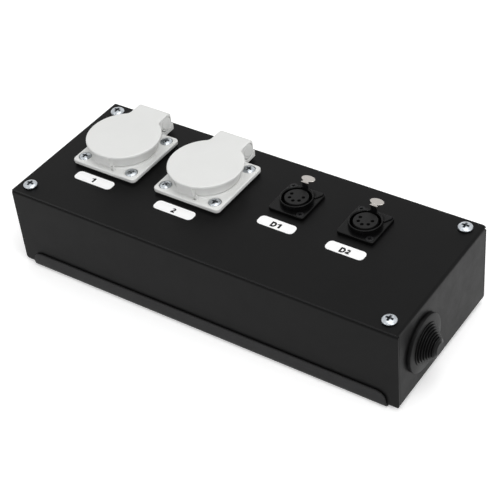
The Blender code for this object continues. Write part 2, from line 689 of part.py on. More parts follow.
def well_solid():
    """The socket's well with its floor and the housing of the contacts below it."""
    shoulder = WELL_OUTSIDE + INSERT_SHOULDER
    shoulder_top = FLANGE_BOTTOM - GAP
    shoulder_bottom = -SHEET - GAP
    profile = [(0, WELL_BOTTOM), (WELL_RADIUS, WELL_BOTTOM), (WELL_RADIUS, WELL_RIM),
               (WELL_OUTSIDE, WELL_RIM), (WELL_OUTSIDE, shoulder_top), (shoulder, shoulder_top),
               (shoulder, shoulder_bottom), (WELL_OUTSIDE, shoulder_bottom), (WELL_OUTSIDE, WELL_UNDERSIDE),
               (HOUSING_RADIUS, WELL_UNDERSIDE), (HOUSING_RADIUS, HOUSING_BOTTOM), (0, HOUSING_BOTTOM)]
    body = turned(profile, SIDES_LARGE)
    places = [(-PIN_PITCH / 2, 0), (PIN_PITCH / 2, 0)]
    spare = WELL_FLOOR
    cutters = holes(places, PIN_HOLE_RADIUS, WELL_UNDERSIDE - spare, WELL_BOTTOM + spare, SIDES_SMALL)
    bays = holes(places, SLEEVE_RADIUS + GAP, HOUSING_BOTTOM - spare, WELL_UNDERSIDE + GAP, SIDES_SMALL)
    half = EARTH_WIDTH / 2 + GAP
    inner = EARTH_SPREAD - EARTH_SHEET - EARTH_TIP - GAP
    outer = EARTH_SPREAD + GAP
    slots = [box((-half, inner, WELL_UNDERSIDE - spare), (half, outer, WELL_BOTTOM + spare)),
             box((-half, -outer, WELL_UNDERSIDE - spare), (half, -inner, WELL_BOTTOM + spare))]
    return cut(body, gathered(*bays), gathered(*cutters, *slots))


def contact_solid():
    """A contact sleeve with its solid tail, open at the top."""
    top = WELL_UNDERSIDE - GAP
    bottom = HOUSING_BOTTOM - SLEEVE_TAIL
    inside = SLEEVE_RADIUS - SLEEVE_WALL
    step = HOUSING_BOTTOM + GAP
    return turned([(0, step), (inside, step), (inside, top), (SLEEVE_RADIUS, top), (SLEEVE_RADIUS, bottom),
                   (0, bottom)], SIDES_SMALL)


def earth_clip_solid():
    """Earth clip: a strip under the housing whose two legs stand in the well."""
    bottom = HOUSING_BOTTOM - GAP - EARTH_SHEET
    tip = WELL_BOTTOM + EARTH_DROP
    outer = [(-EARTH_SPREAD, bottom), (EARTH_SPREAD, bottom), (EARTH_SPREAD, tip - 4 * EARTH_TIP),
             (EARTH_SPREAD - EARTH_TIP, tip - 2 * EARTH_TIP), (EARTH_SPREAD, tip)]
    inner = [(y - EARTH_SHEET, z) for y, z in outer[:1:-1]]
    inner.append((EARTH_SPREAD - EARTH_SHEET, bottom + EARTH_SHEET))
    half_outline = outer[1:] + inner
    outline = half_outline + [(-y, z) for y, z in half_outline[::-1]]
    return extruded(outline, "x", -EARTH_WIDTH / 2, EARTH_WIDTH / 2)


def lid_outline():
    """The lid from above: a disc with a straight tongue to the hinge, filleted where they meet."""
    half = TONGUE_WIDTH / 2
    away = LID_RADIUS + TONGUE_FILLET
    centre_y = math.sqrt(away ** 2 - (half + TONGUE_FILLET) ** 2)
    meeting = math.degrees(math.atan2(centre_y, half + TONGUE_FILLET))
    right = arc((half + TONGUE_FILLET, centre_y), TONGUE_FILLET, meeting + 180, 180, 4)
    left = [(-x, y) for x, y in right[::-1]]
    disc = arc((0, 0), LID_RADIUS, 180 - meeting, 360 + meeting, LID_STEPS)
    return disc[1:-1] + right + [(half, HINGE_Y), (-half, HINGE_Y)] + left


def lid_solid():
    """Lid: edge-rounded plate, skirt, hinge tongue with its barrel, and the lug in front."""
    plate = extruded(lid_outline(), "z", LID_UNDERSIDE, LID_HEIGHT)
    bevelled(plate, LID_EDGE, lambda edge: lies_at(LID_HEIGHT)(edge)
             and min(vert.co.y for vert in edge.verts) < HINGE_Y - TOLERANCE)
    foot = COLLAR_TOP + GAP
    root = LID_UNDERSIDE + LID_PLATE / 2
    skirt_profile = [(SKIRT_RADIUS, root), (SKIRT_RADIUS - SKIRT_WALL, root),
                     (SKIRT_FOOT_RADIUS - SKIRT_WALL, foot), (SKIRT_FOOT_RADIUS, foot)]
    skirt = turned(skirt_profile, SIDES_LARGE, ring=True)
    tongue_bottom = LID_HEIGHT - TONGUE_DEPTH
    inside = SKIRT_RADIUS - SKIRT_WALL / 2
    start = math.degrees(math.asin((tongue_bottom - HINGE_Z) / BARREL_RADIUS))
    outline = [(inside, tongue_bottom)]
    foot_angle = -math.degrees(math.acos(HOOD_BACK / BARREL_RADIUS))
    outline += arc((HINGE_Y, HINGE_Z), BARREL_RADIUS, -180 - start, foot_angle, BARREL_STEPS)
    top = LID_HEIGHT - LID_TUCK
    hood = arc((HINGE_Y + HOOD_BACK - HOOD_CORNER, top - HOOD_CORNER), HOOD_CORNER, 0, 90, 2 * BEND_STEPS)
    hood.append((HINGE_Y - HOOD_FRONT, top))
    below_edge = LID_HEIGHT - LID_PLATE / 2
    half = TONGUE_WIDTH / 2 - LID_TUCK
    tongue = extruded(outline + hood + [(HINGE_Y - HOOD_FRONT, below_edge), (inside, below_edge)], "x",
                      -half, half)
    rim = [outline[-1]] + hood
    bevelled(tongue, LID_EDGE, lambda edge: follows(edge, rim))
    lug = box((-LUG_WIDTH / 2, -LUG_FRONT, LUG_BOTTOM), (LUG_WIDTH / 2, -SKIRT_RADIUS + SKIRT_WALL, root))
    body = joined(plate, skirt, tongue, lug)
    knuckle_side = KNUCKLE_WIDTH / 2 + GAP
    spring_side = KNUCKLE_WIDTH / 2 + SPRING_BAY + GAP
    below = BARREL_RADIUS * 2
    bay_radius = LID_HEIGHT - HINGE_Z - BARREL_SKIN
    bay_outline = arc((HINGE_Y, HINGE_Z), bay_radius, BAY_EDGE, BAY_FRONT, BAY_STEPS)
    bay_outline += [(HINGE_Y - BAY_REACH, HINGE_Z), (HINGE_Y - BAY_REACH, HINGE_Z - below),
                    (HINGE_Y + BAY_REACH, HINGE_Z - below), (HINGE_Y + BAY_REACH, bay_outline[0][1])]
    bay = extruded(bay_outline, "x", -spring_side, knuckle_side)
    bore = turned_to_x(extruded(circle((0, 0), HINGE_PIN_RADIUS + RUNNING, SIDES_SMALL), "z",
                                -TONGUE_WIDTH, TONGUE_WIDTH))
    moved(bore, (0, HINGE_Y, HINGE_Z))
    return moved(cut(body, bay, bore), (0, -HINGE_Y, -HINGE_Z))


def coil_solid(radius, wire, pitch, turns, points, sides):
    """A round wire wound about Z from height 0, both ends cut square."""
    count = turns * points
    path = []
    for step in range(count + 1):
        angle = math.tau * step / points
        path.append(Vector((radius * math.cos(angle), radius * math.sin(angle), pitch * step / points)))
    solid = bmesh.new()
    rings = []
    for index, centre in enumerate(path):
        heading = (path[min(index + 1, count)] - path[max(index - 1, 0)]).normalized()
        outwards = Vector((centre.x, centre.y, 0)).normalized()
        across = heading.cross(outwards).normalized()
        outwards = across.cross(heading).normalized()
        ring = []
        for side in range(sides):
            angle = math.tau * side / sides
            offset = outwards * math.cos(angle) + across * math.sin(angle)
            ring.append(solid.verts.new(centre + offset * wire / 2))
        rings.append(ring)
    edges = [[solid.edges.new((ring[side - 1], ring[side])) for side in range(sides)] for ring in rings]
    for first, second in zip(edges, edges[1:]):
        bmesh.ops.bridge_loops(solid, edges=first + second)
    for end in (rings[0], rings[-1]):
        solid.faces.new(end)
    bmesh.ops.recalc_face_normals(solid, faces=solid.faces)
    return solid


def make_sockets(white, seal, zinc, steel, brass):
    """Both mains sockets, piece by piece."""
    frame = mesh_of("socket_frame", frame_solid(), white)
    gasket = mesh_of("socket_gasket", gasket_solid(), seal)
    well = mesh_of("socket_insert", well_solid(), white)
    contact = mesh_of("socket_contact", contact_solid(), brass)
    clip = mesh_of("socket_earth_clip", earth_clip_solid(), steel)
    lid = mesh_of("socket_lid", lid_solid(), white)
    pin_half = TONGUE_WIDTH / 2 - GAP
    pin = mesh_of("lid_hinge_pin", turned_to_x(turned(
        [(0, pin_half), (HINGE_PIN_RADIUS, pin_half), (HINGE_PIN_RADIUS, -pin_half), (0, -pin_half)],
        SIDES_SMALL)), steel)
    coil = turned_to_x(coil_solid(HINGE_PIN_RADIUS + RUNNING + SPRING_WIRE, SPRING_WIRE, SPRING_PITCH,
                                  SPRING_TURNS, SPRING_POINTS, SPRING_SIDES))
    spring = mesh_of("lid_spring", coil, steel)
    screw = mesh_of("flange_screw", pan_screw(FLANGE_HEAD_RADIUS, FLANGE_HEAD_HEIGHT, FLANGE_SHANK_RADIUS,
                                              FLANGE_SHANK_LENGTH, SIDES_SCREW), zinc)
    spring_length = SPRING_PITCH * SPRING_TURNS
    spring_x = -KNUCKLE_WIDTH / 2 - (SPRING_BAY + spring_length) / 2
    corners = {"front_left": 0, "back_left": 1, "front_right": 2, "back_right": 3}
    for number, x in enumerate(SOCKET_X, start=1):
        tag = f"_{number}"
        centre = (x, SOCKET_Y, BOX_HEIGHT)
        hinge = (x, SOCKET_Y + HINGE_Y, BOX_HEIGHT + HINGE_Z)
        place("socket_frame" + tag, frame, centre)
        place("socket_gasket" + tag, gasket, centre)
        place("socket_insert" + tag, well, centre)
        place("socket_earth_clip" + tag, clip, centre)
        for side, shift in (("left", -PIN_PITCH / 2), ("right", PIN_PITCH / 2)):
            place(f"socket_contact_{side}{tag}", contact, (x + shift, SOCKET_Y, BOX_HEIGHT))
        place("socket_lid" + tag, lid, hinge)
        place("lid_hinge_pin" + tag, pin, hinge)
        place("lid_spring" + tag, spring, (hinge[0] + spring_x, hinge[1], hinge[2]))
        screws = flange_screw_places()
        for corner, index in corners.items():
            dx, dy = screws[index]
            where = (x + dx, SOCKET_Y + dy, BOX_HEIGHT + POCKET_BOTTOM + GAP)
            place(f"flange_screw_{corner}{tag}", screw, where)


def contact_places():
    """The signal contacts, from the connector's centre, with the gap between them at the back."""
    sweep = 360 - 2 * CONTACT_FIRST_ANGLE
    places = []
    for index in range(CONTACT_COUNT):
        angle = math.radians(90 - CONTACT_FIRST_ANGLE - sweep * index / (CONTACT_COUNT - 1))
        places.append((CONTACT_CIRCLE * math.cos(angle), CONTACT_CIRCLE * math.sin(angle)))
    return places


def shell_solid():
    """Flange, ring and barrel of a signal connector, with the slot of its push tab."""
    outline = rounded_rectangle((0, 0), (CONNECTOR_WIDTH, CONNECTOR_DEPTH), CONNECTOR_CORNER, 3)
    plate = bevelled(extruded(outline, "z", PLATE_BOTTOM, PLATE_TOP), PLATEAU_RISE / 2, lies_at(PLATE_TOP))
    edge = PLATEAU_RISE
    plateau_top = PLATE_TOP + PLATEAU_RISE
    side = CONNECTOR_WIDTH / 2 - edge
    back = CONNECTOR_DEPTH / 2 - edge
    plateau_outline = [(-side, PLATEAU_FRONT), (PLATEAU_CUT, PLATEAU_FRONT), (side, PLATEAU_SIDE),
                       (side, back), (-side, back)]
    plateau = extruded(plateau_outline, "z", PLATE_BOTTOM + edge, plateau_top)
    bevelled(plateau, PLATEAU_RISE / 2, lies_at(plateau_top), 1)
    lip = CAVITY_RADIUS + CAVITY_CHAMFER
    barrel = turned([(0, -SHELL_DEPTH), (SHELL_RADIUS, -SHELL_DEPTH), (SHELL_RADIUS, PLATE_BOTTOM + edge),
                     (RING_RADIUS, PLATE_BOTTOM + edge), (RING_RADIUS, RING_HEIGHT - edge / 4),
                     (RING_RADIUS - edge / 4, RING_HEIGHT), (0, RING_HEIGHT)], SIDES_MIDDLE)
    body = joined(plate, plateau, barrel)
    spare = PLATE_TOP
    cavity = turned([(0, CAVITY_BOTTOM), (CAVITY_RADIUS, CAVITY_BOTTOM),
                     (CAVITY_RADIUS, RING_HEIGHT - CAVITY_CHAMFER), (lip, RING_HEIGHT),
                     (lip, RING_HEIGHT + spare), (0, RING_HEIGHT + spare)], SIDES_MIDDLE)
    half = SLOT_WIDTH / 2
    slot_front = CAVITY_RADIUS - CAVITY_CHAMFER
    open_slot = box((-half, slot_front, PLATE_TOP - edge),
                    (half, RING_RADIUS + edge * 2, RING_HEIGHT + spare))
    deep_slot = box((-half, slot_front, -SLOT_DEPTH), (half, SLOT_BACK, RING_HEIGHT + spare))
    pin_holes = holes(contact_places(), CONTACT_HOLE_RADIUS, -SHELL_DEPTH - spare, CAVITY_BOTTOM + spare,
                      SIDES_PIN)
    screw_holes = holes(connector_screw_places(), CONNECTOR_SHANK_RADIUS + SCREW_CLEARANCE,
                        PLATE_BOTTOM - spare, PLATE_TOP + spare, SIDES_PIN)
    sinks = []
    for x, y in connector_screw_places():
        wide = CONNECTOR_HEAD_RADIUS + SCREW_CLEARANCE
        narrow = CONNECTOR_SHANK_RADIUS + SCREW_CLEARANCE
        top = screw_seat(y)
        point = top - wide + narrow - GAP
        sink = turned([(0, point), (narrow, point), (wide, top - GAP), (wide, plateau_top + spare),
                       (0, plateau_top + spare)], SIDES_SMALL)
        sinks.append(moved(sink, (x, y, 0)))
    return cut(body, cavity, open_slot, deep_slot, gathered(*pin_holes, *screw_holes), gathered(*sinks))


def screw_seat(y):
    """Height of the surface that a connector screw's head is flush with."""
    return PLATE_TOP + (PLATEAU_RISE if y > PLATEAU_FRONT else 0.0)


def connector_screw_solid():
    """Countersunk screw whose flat top is at Z = 0."""
    slope = CONNECTOR_HEAD_RADIUS - CONNECTOR_SHANK_RADIUS
    profile = [(0, 0), (CONNECTOR_HEAD_RADIUS, 0), (CONNECTOR_SHANK_RADIUS, -slope),
               (CONNECTOR_SHANK_RADIUS, -CONNECTOR_SCREW_LENGTH), (0, -CONNECTOR_SCREW_LENGTH)]
    return cut(turned(profile, SIDES_SMALL), cross_recess(CONNECTOR_HEAD_RADIUS, 0, slope))


def core_solid():
    """Insert of a signal connector with its contact holes."""
    edge = CAVITY_CHAMFER
    bottom = CAVITY_BOTTOM + GAP
    body = turned([(0, bottom), (CORE_RADIUS, bottom), (CORE_RADIUS, CORE_HEIGHT - edge),
                   (CORE_RADIUS - edge, CORE_HEIGHT), (0, CORE_HEIGHT)], SIDES_MIDDLE)
    cutters = holes(contact_places(), CONTACT_HOLE_RADIUS, bottom - edge, CORE_HEIGHT + edge, SIDES_PIN)
    return cut(body, gathered(*cutters))


def carrier_solid():
    """Round board under the shell with its five contact pins and their tails."""
    top = -SHELL_DEPTH - GAP
    bottom = top - CARRIER_THICKNESS
    board = extruded(circle((0, 0), CARRIER_RADIUS, SIDES_MIDDLE), "z", bottom, top)
    pins = holes(contact_places(), CONTACT_PIN_RADIUS, bottom - CONTACT_TAIL, -CONTACT_PIN_TOP, SIDES_PIN)
    return joined(board, gathered(*pins))


def push_tab_solid():
    """Push tab: oval thumb plate, neck, leg in the slot and latch tooth."""
    underside = TAB_HEIGHT - TAB_SHEET
    oval = [(TAB_HALF_WIDTH * x, TAB_CENTRE + TAB_HALF_DEPTH * y)
            for x, y in circle((0, 0), 1.0, SIDES_MIDDLE)]
    thumb = extruded(oval, "z", underside, TAB_HEIGHT)
    half = LEG_WIDTH / 2
    neck = box((-half, LEG_FRONT, underside + TAB_SHEET / 8), (half, TAB_CENTRE, TAB_HEIGHT - TAB_SHEET / 8))
    leg = box((-half, LEG_FRONT + TAB_SHEET / 8, -LEG_DROP),
              (half, LEG_FRONT + TAB_SHEET, TAB_HEIGHT - TAB_SHEET / 4))
    tooth = box((-LATCH_WIDTH / 2, LEG_FRONT - LATCH_DEPTH / 2, -LEG_DROP + LATCH_DEPTH),
                (LATCH_WIDTH / 2, LEG_FRONT + TAB_SHEET / 2, -LEG_DROP + 2 * LATCH_DEPTH))
    return joined(thumb, neck, leg, tooth)


def make_connectors(black, core_black, silver, brass, screw_black, steel):
    """Both signal connectors, piece by piece."""
    shell = mesh_of("connector_shell", shell_solid(), black)
    core = mesh_of("connector_insert", core_solid(), core_black)
    carrier = mesh_of("contact_carrier", carrier_solid(), brass)
    tab = mesh_of("push_tab", push_tab_solid(), silver)
    screw = mesh_of("connector_screw", connector_screw_solid(), screw_black)
    spring_bottom = -SLOT_DEPTH + GAP + TAB_WIRE / 2
    spring_top = -LEG_DROP - GAP - TAB_WIRE / 2
    pitch = (spring_top - spring_bottom) / TAB_SPRING_TURNS
    coil = coil_solid(TAB_SPRING_RADIUS, TAB_WIRE, pitch, TAB_SPRING_TURNS, TAB_SPRING_POINTS,
                      TAB_SPRING_SIDES)
    spring = mesh_of("tab_spring", coil, steel)
    spring_y = LEG_FRONT + TAB_SHEET - TAB_SPRING_RADIUS - TAB_WIRE / 2
    for number, x in enumerate(CONNECTOR_X, start=1):
        tag = f"_{number}"
        centre = (x, CONNECTOR_Y, BOX_HEIGHT)
        place("connector_shell" + tag, shell, centre)
        place("connector_insert" + tag, core, centre)
        place("contact_carrier" + tag, carrier, centre)
        place("push_tab" + tag, tab, centre)
        place("tab_spring" + tag, spring, (x, CONNECTOR_Y + spring_y, BOX_HEIGHT + spring_bottom))
        for side, (dx, dy) in zip(("back", "front"), connector_screw_places()):
            where = (x + dx, CONNECTOR_Y + dy, BOX_HEIGHT + screw_seat(dy))
            place(f"connector_screw_{side}{tag}", screw, where)


def make_grommet(rubber):
    """Stepped cone grommet in the right end wall, hollow from inside."""
    inner_face = -SHEET - GAP
    back = inner_face - GROMMET_INNER_FLANGE
    edge = GROMMET_EDGE
    profile = [(GROMMET_INNER_RADIUS, back), (GROMMET_INNER_RADIUS, inner_face),
               (GROMMET_NECK_RADIUS, inner_face), (GROMMET_NECK_RADIUS, GAP),
               (GROMMET_FLANGE_RADIUS, GAP), (GROMMET_FLANGE_RADIUS, GROMMET_FLANGE - edge),
               (GROMMET_FLANGE_RADIUS - edge, GROMMET_FLANGE)]
    height = GROMMET_FLANGE
    for radius in GROMMET_STEP_RADII[:-1]:
        profile.append((radius, height))
        height += GROMMET_STEP
        profile.append((radius - GROMMET_STEP_TAPER, height))
    tip = GROMMET_TIP_RADIUS
    top = height + GROMMET_TIP
    base = GROMMET_STEP_RADII[0] - GROMMET_WALL
    hollow = [(0, height - GROMMET_WALL), (tip - GROMMET_WALL, height - GROMMET_WALL),
              (base, GROMMET_FLANGE - GROMMET_WALL), (base, back)]
    body = turned(hollow + profile + [(GROMMET_STEP_RADII[-1], height), (tip, top), (0, top)], SIDES_LARGE)
    solid = turned_to_x(body)
    place("cable_grommet", mesh_of("cable_grommet", solid, rubber), (HALF_LENGTH, GROMMET_Y, GROMMET_Z))


def make_labels(film):
    """White name plates on the top plate."""
    meshes = []
    for length in (SOCKET_LABEL_LENGTH, CONNECTOR_LABEL_LENGTH):
        outline = rounded_rectangle((0, 0), (length, LABEL_WIDTH), LABEL_CORNER)
        meshes.append(mesh_of("label", extruded(outline, "z", LABEL_GAP, LABEL_GAP + LABEL_THICKNESS), film))
    wide, narrow = meshes
    outlets = {"label_1": (wide, SOCKET_X[0], SOCKET_Y, LABEL_1_SHIFT),
               "label_2": (wide, SOCKET_X[1], SOCKET_Y, LABEL_2_SHIFT),
               "label_d1": (narrow, CONNECTOR_X[0], CONNECTOR_Y, LABEL_D1_SHIFT),
               "label_d2": (narrow, CONNECTOR_X[1], CONNECTOR_Y, LABEL_D2_SHIFT)}
    for name, (mesh, x, y, shift) in outlets.items():
        place(name, mesh, (x + shift[0], y + shift[1], BOX_HEIGHT))


def make_floor_fittings(block_finish, steel):
    """Terminal block and earth stud on the floor of the base."""
    low = BASE_FLOOR + GAP
    body = extruded(rounded_rectangle((0, 0), (BLOCK_LENGTH, BLOCK_WIDTH), BLOCK_HOLE_RADIUS / 2, 2), "z",
                    0, BLOCK_HEIGHT)
    ways = [BLOCK_LENGTH * (index + 0.5) / BLOCK_WAYS - BLOCK_LENGTH / 2 for index in range(BLOCK_WAYS)]
    wires = [extruded(circle((x, BLOCK_WIRE_HEIGHT), BLOCK_HOLE_RADIUS, SIDES_PIN), "y",
                      -BLOCK_WIDTH, BLOCK_WIDTH) for x in ways]
    screws = holes(grid(ways, (-BLOCK_SCREW_SPACING / 2, BLOCK_SCREW_SPACING / 2)), BLOCK_HOLE_RADIUS,
                   BLOCK_HEIGHT - BLOCK_SCREW_DEPTH, BLOCK_HEIGHT + BLOCK_SCREW_DEPTH, SIDES_PIN)
    block = cut(body, gathered(*wires), gathered(*screws))
    block_y = FLANGE_HEAD_RADIUS + BLOCK_CLEARANCE + BLOCK_WIDTH / 2
    block_place = (HALF_LENGTH - BLOCK_FROM_RIGHT, block_y, low)
    place("terminal_block", mesh_of("terminal_block", block, block_finish), block_place)
    nut = extruded(circle((0, 0), STUD_NUT_RADIUS, 6), "z", 0, STUD_NUT_HEIGHT)
    shaft = extruded(circle((0, 0), STUD_RADIUS, SIDES_SMALL), "z", STUD_NUT_HEIGHT / 2, STUD_HEIGHT)
    stud_place = (STUD_FROM_LEFT - HALF_LENGTH, HALF_DEPTH - STUD_FROM_BACK, low)
    place("earth_stud", mesh_of("earth_stud", joined(nut, shaft), steel), stud_place)


def main():
    """Clears the file and builds every piece."""
    for old in list(bpy.data.objects):
        bpy.data.objects.remove(old)
    powder = material("black powder coat", (0.017, 0.017, 0.018), 0.45)
    white = material("white plastic", (0.76, 0.76, 0.74), 0.45)
    seal = material("black seal", (0.02, 0.02, 0.02), 0.7)
    zinc = material("zinc plate", (0.62, 0.65, 0.67), 0.3, 1.0)
    steel = material("spring steel", (0.5, 0.5, 0.5), 0.35, 1.0)
    brass = material("brass", (0.62, 0.48, 0.24), 0.35, 1.0)
    black = material("black nylon", (0.014, 0.014, 0.014), 0.5)
    core_black = material("black insert", (0.03, 0.03, 0.031), 0.55)
    silver = material("nickel", (0.55, 0.52, 0.48), 0.4, 1.0)
    screw_black = material("black screw", (0.01, 0.01, 0.01), 0.4, 0.6)
    rubber = material("black rubber", (0.02, 0.02, 0.02), 0.6)
    film = material("white label", (0.9, 0.9, 0.9), 0.5)
    block_finish = material("terminal block", (0.75, 0.75, 0.72), 0.5)
    make_cover(powder)
    make_base(powder)
    make_tray(powder)
    make_box_fasteners(zinc)
    make_sockets(white, seal, zinc, steel, brass)
    make_connectors(black, core_black, silver, brass, screw_black, steel)
    make_grommet(rubber)
    make_labels(film)
    make_floor_fittings(block_finish, steel)


main()
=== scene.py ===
"""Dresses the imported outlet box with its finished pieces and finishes, and sets it in a pale studio."""

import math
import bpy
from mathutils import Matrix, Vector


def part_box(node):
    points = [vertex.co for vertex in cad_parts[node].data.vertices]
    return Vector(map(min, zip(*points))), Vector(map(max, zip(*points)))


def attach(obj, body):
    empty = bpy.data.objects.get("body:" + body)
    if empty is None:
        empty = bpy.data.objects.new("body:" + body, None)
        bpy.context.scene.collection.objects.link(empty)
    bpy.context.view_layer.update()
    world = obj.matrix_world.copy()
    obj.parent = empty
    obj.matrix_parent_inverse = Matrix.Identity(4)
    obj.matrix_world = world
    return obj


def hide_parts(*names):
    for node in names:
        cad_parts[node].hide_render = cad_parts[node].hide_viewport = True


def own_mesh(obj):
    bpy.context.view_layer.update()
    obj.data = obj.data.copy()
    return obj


bl_info = {
    "name": "Outlet Box",
    "version": (1, 0, 0),
    "blender": (4, 5, 0),
    "location": "View3D > Sidebar > Outlet Box",
    "description": "Builds the finished pieces of a power and signal outlet box on its packed frame",
    "category": "Object",
}

import bmesh
import bpy
from bpy.props import FloatProperty, FloatVectorProperty, PointerProperty
from mathutils import Matrix, Vector

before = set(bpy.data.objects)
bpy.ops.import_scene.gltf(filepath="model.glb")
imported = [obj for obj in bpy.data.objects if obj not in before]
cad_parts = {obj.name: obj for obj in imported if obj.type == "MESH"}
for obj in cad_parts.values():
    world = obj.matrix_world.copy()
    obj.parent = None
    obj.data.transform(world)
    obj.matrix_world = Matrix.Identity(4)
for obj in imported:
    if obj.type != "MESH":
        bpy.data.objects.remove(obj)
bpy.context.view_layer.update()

# How finely round shapes are stepped, and the distances under which points are one
SIDES_RIM = 144
SIDES_ROUND = 72
SIDES_SMALL = 40
SIDES_TINY = 20
ARC_STEP = 6.0
DOME_STEP = 9
COVE_STEP = 15
SEGMENTS_FINE = 12
SEGMENTS_CORNER = 8
SEGMENTS_RIM = 6
MERGE = 2e-6
WELD = MERGE / 20
SPARE = 0.004

# Edges sharper than the first angle are eased; without eased edges the second angle parts the shading
EASED_ANGLE = 32
SHARP_ANGLE = 38
SHADING_WEIGHT = 80

# The angle from which chosen edges are rounded, and the angle under which two faces count as one
ROUNDED_ANGLE = 20
FLAT_ANGLE = 0.2

# Finer edges of small pieces, as shares of the moulded edge; bevels and shoulders are shares of these
EDGE_SHARES = {"lid": 0.7, "shell": 0.7, "core": 0.5, "tab": 0.6}
SOFT_SHARE = 0.3
SHOULDER_SHARE = 1 / 7

# Mains socket, measured from its centre and from the top plate, as in the solid model
GAP = 0.0003
SHEET = 0.0015
SOCKET_FLANGE = 0.0508
SOCKET_CORNER = 0.003
FLANGE_BOTTOM = 0.0015
FLANGE_TOP = 0.0045
FLANGE_UNDERCUT = 0.0007
FLANGE_PITCH = 0.0384
FLANGE_SHANK = 0.0018
POCKET_RADIUS = 0.0044
POCKET_BOTTOM = 0.0032
POCKET_RIM = 0.00055
POCKET_RIM_HEIGHT = 0.0003
POCKET_SLOPE = 0.7
SCREW_CLEARANCE = 0.0004
WELL_RADIUS = 0.0191
WELL_OUTSIDE = 0.0203
WELL_RIM = 0.0057
WELL_BOTTOM = -0.0121
WELL_UNDERSIDE = -0.0146
HOUSING_RADIUS = 0.0160
HOUSING_BOTTOM = -0.0221
WELL_SHOULDER = 0.0217
PIN_PITCH = 0.019
PIN_HOLE = 0.0027
SLEEVE_BAY = 0.0034
EARTH_HALF = 0.00255
EARTH_INNER = 0.0163
EARTH_OUTER = 0.0187
COLLAR_TOP = 0.006
COLLAR_RADIUS = 0.0218
COLLAR_FOOT = 0.0240
BRACKET_WIDTH = 0.0252
BRACKET_BACK = 0.0362
BRACKET_BOTTOM = 0.0021
BRACKET_TOP = 0.0066
POST_PLACE = (0.0078, -0.0226)
POST_SIZE = (0.0013, 0.0011)
POST_TOP = 0.0086
POST_CORNER = 0.4
POST_ROUND = 0.3
CATCH_PLACE = (0.0059, -0.0226)
CATCH_SIZE = (0.0020, 0.0013)
CATCH_CORNER = 0.3

# Lid, measured in the same way
LID_RADIUS = 0.025
LID_TOP = 0.016
LID_PLATE = 0.0017
LID_ROUND = 0.0008
SKIRT_RADIUS = 0.0223
SKIRT_FOOT = 0.0213
SKIRT_WALL = 0.0014
TONGUE_WIDTH = 0.0244
TONGUE_DEPTH = 0.0068
TONGUE_FILLET = 0.004
HINGE_Y = 0.0302
HINGE_Z = 0.0108
HINGE = (HINGE_Y, HINGE_Z)
BARREL_RADIUS = 0.0060
BARREL_SKIN = 0.0011
HOOD_BACK = 0.0056
HOOD_CORNER = 0.0032
HOOD_FRONT = 0.001
TUCK = 0.00005
BAY_REACH = 0.0068
BAY_FROM = 26.0
BAY_SWEEP = 124.0
KNUCKLE_WIDTH = 0.0096
KNUCKLE_RADIUS = 0.0036
EYE_FROM = -95.0
EYE_SWEEP = 305.0
SPRING_BAY = 0.0043
HINGE_BORE = 0.00155
LUG_WIDTH = 0.012
LUG_FRONT = 0.0246
LUG_BOTTOM = 0.0073
LUG_SLOPE = 0.0009
LUG_ROUND = 0.0004
DRUM_CENTRE = (0.0300, 0.0104)
DRUM_RADIUS = 0.0042
DRUM_GROOVE = 0.0006
DRUM_DEPTH = 0.0010
DRUM_HOLE = 0.0007
DRUM_SLOT = (0.0020, 0.0012)
DRUM_SLOT_CORNER = 0.49
DRUM_HOLES = ((0.0331, 0.0130), (0.0263, 0.0074))

# Signal connector, measured from its centre and from the top plate
CONNECTOR_WIDTH = 0.0256
CONNECTOR_DEPTH = 0.0278
CONNECTOR_CORNER = 0.002
PLATE_TOP = 0.0025
PLATEAU_FRONT = 0.0065
PLATEAU_CUT = 0.0092
PLATEAU_SIDE = 0.011
PLATEAU_RISE = 0.0009
RING_RADIUS = 0.0108
RING_HEIGHT = 0.0058
SHELL_RADIUS = 0.0116
SHELL_DEPTH = 0.016
CAVITY_RADIUS = 0.0095
CAVITY_BOTTOM = -0.0135
CAVITY_CHAMFER = 0.0006
CORE_RADIUS = 0.0078
CORE_HEIGHT = 0.0056
CONTACT_CIRCLE = 0.0044
CONTACT_FIRST = 75.0
CONTACT_COUNT = 5
CONTACT_HOLE = 0.0012
CONNECTOR_SCREW_X = 0.0091
CONNECTOR_SCREW_Y = 0.0108
CONNECTOR_HEAD = 0.0025
CONNECTOR_SHANK = 0.0014
CONNECTOR_SCREW_LENGTH = 0.009
CONNECTOR_BEVEL = GAP / 6
SLOT_WIDTH = 0.0048
SLOT_BACK = 0.0109
SLOT_DEPTH = 0.012
TAB_CENTRE = 0.0143
TAB_HALF_WIDTH = 0.0047
TAB_HALF_DEPTH = 0.0029
TAB_TOP = 0.0100
TAB_SHEET = 0.0008
TAB_SKIN = TAB_SHEET / 8
LEG_FRONT = 0.0099
LEG_WIDTH = 0.0040
LEG_DROP = 0.0045
LATCH_WIDTH = 0.003
LATCH_DEPTH = 0.0012
PRONG_WIDTH = 0.0006
PRONG_REACH = 0.0002
PRONG_DROP = 0.0006

# Grommet, measured from the end wall along its axis
GROMMET_BACK = -0.0036
GROMMET_INNER_FACE = -0.0018
GROMMET_INNER_RADIUS = 0.0170
GROMMET_NECK = 0.0148
GROMMET_FLANGE_RADIUS = 0.0188
GROMMET_FLANGE = 0.0025
GROMMET_RIDGES = (0.0136, 0.0124, 0.0112, 0.0100, 0.0088, 0.0077, 0.0067)
GROMMET_RIDGE = 0.008 / len(GROMMET_RIDGES)
GROMMET_LAST = 0.0060
GROMMET_TIP_RADIUS = 0.0042
GROMMET_TIP = 0.0011
GROMMET_WALL = 0.0015
GROMMET_ROUND = 0.00025
GROMMET_NOTCH = 0.0013
GROMMET_GROOVE = 0.0004

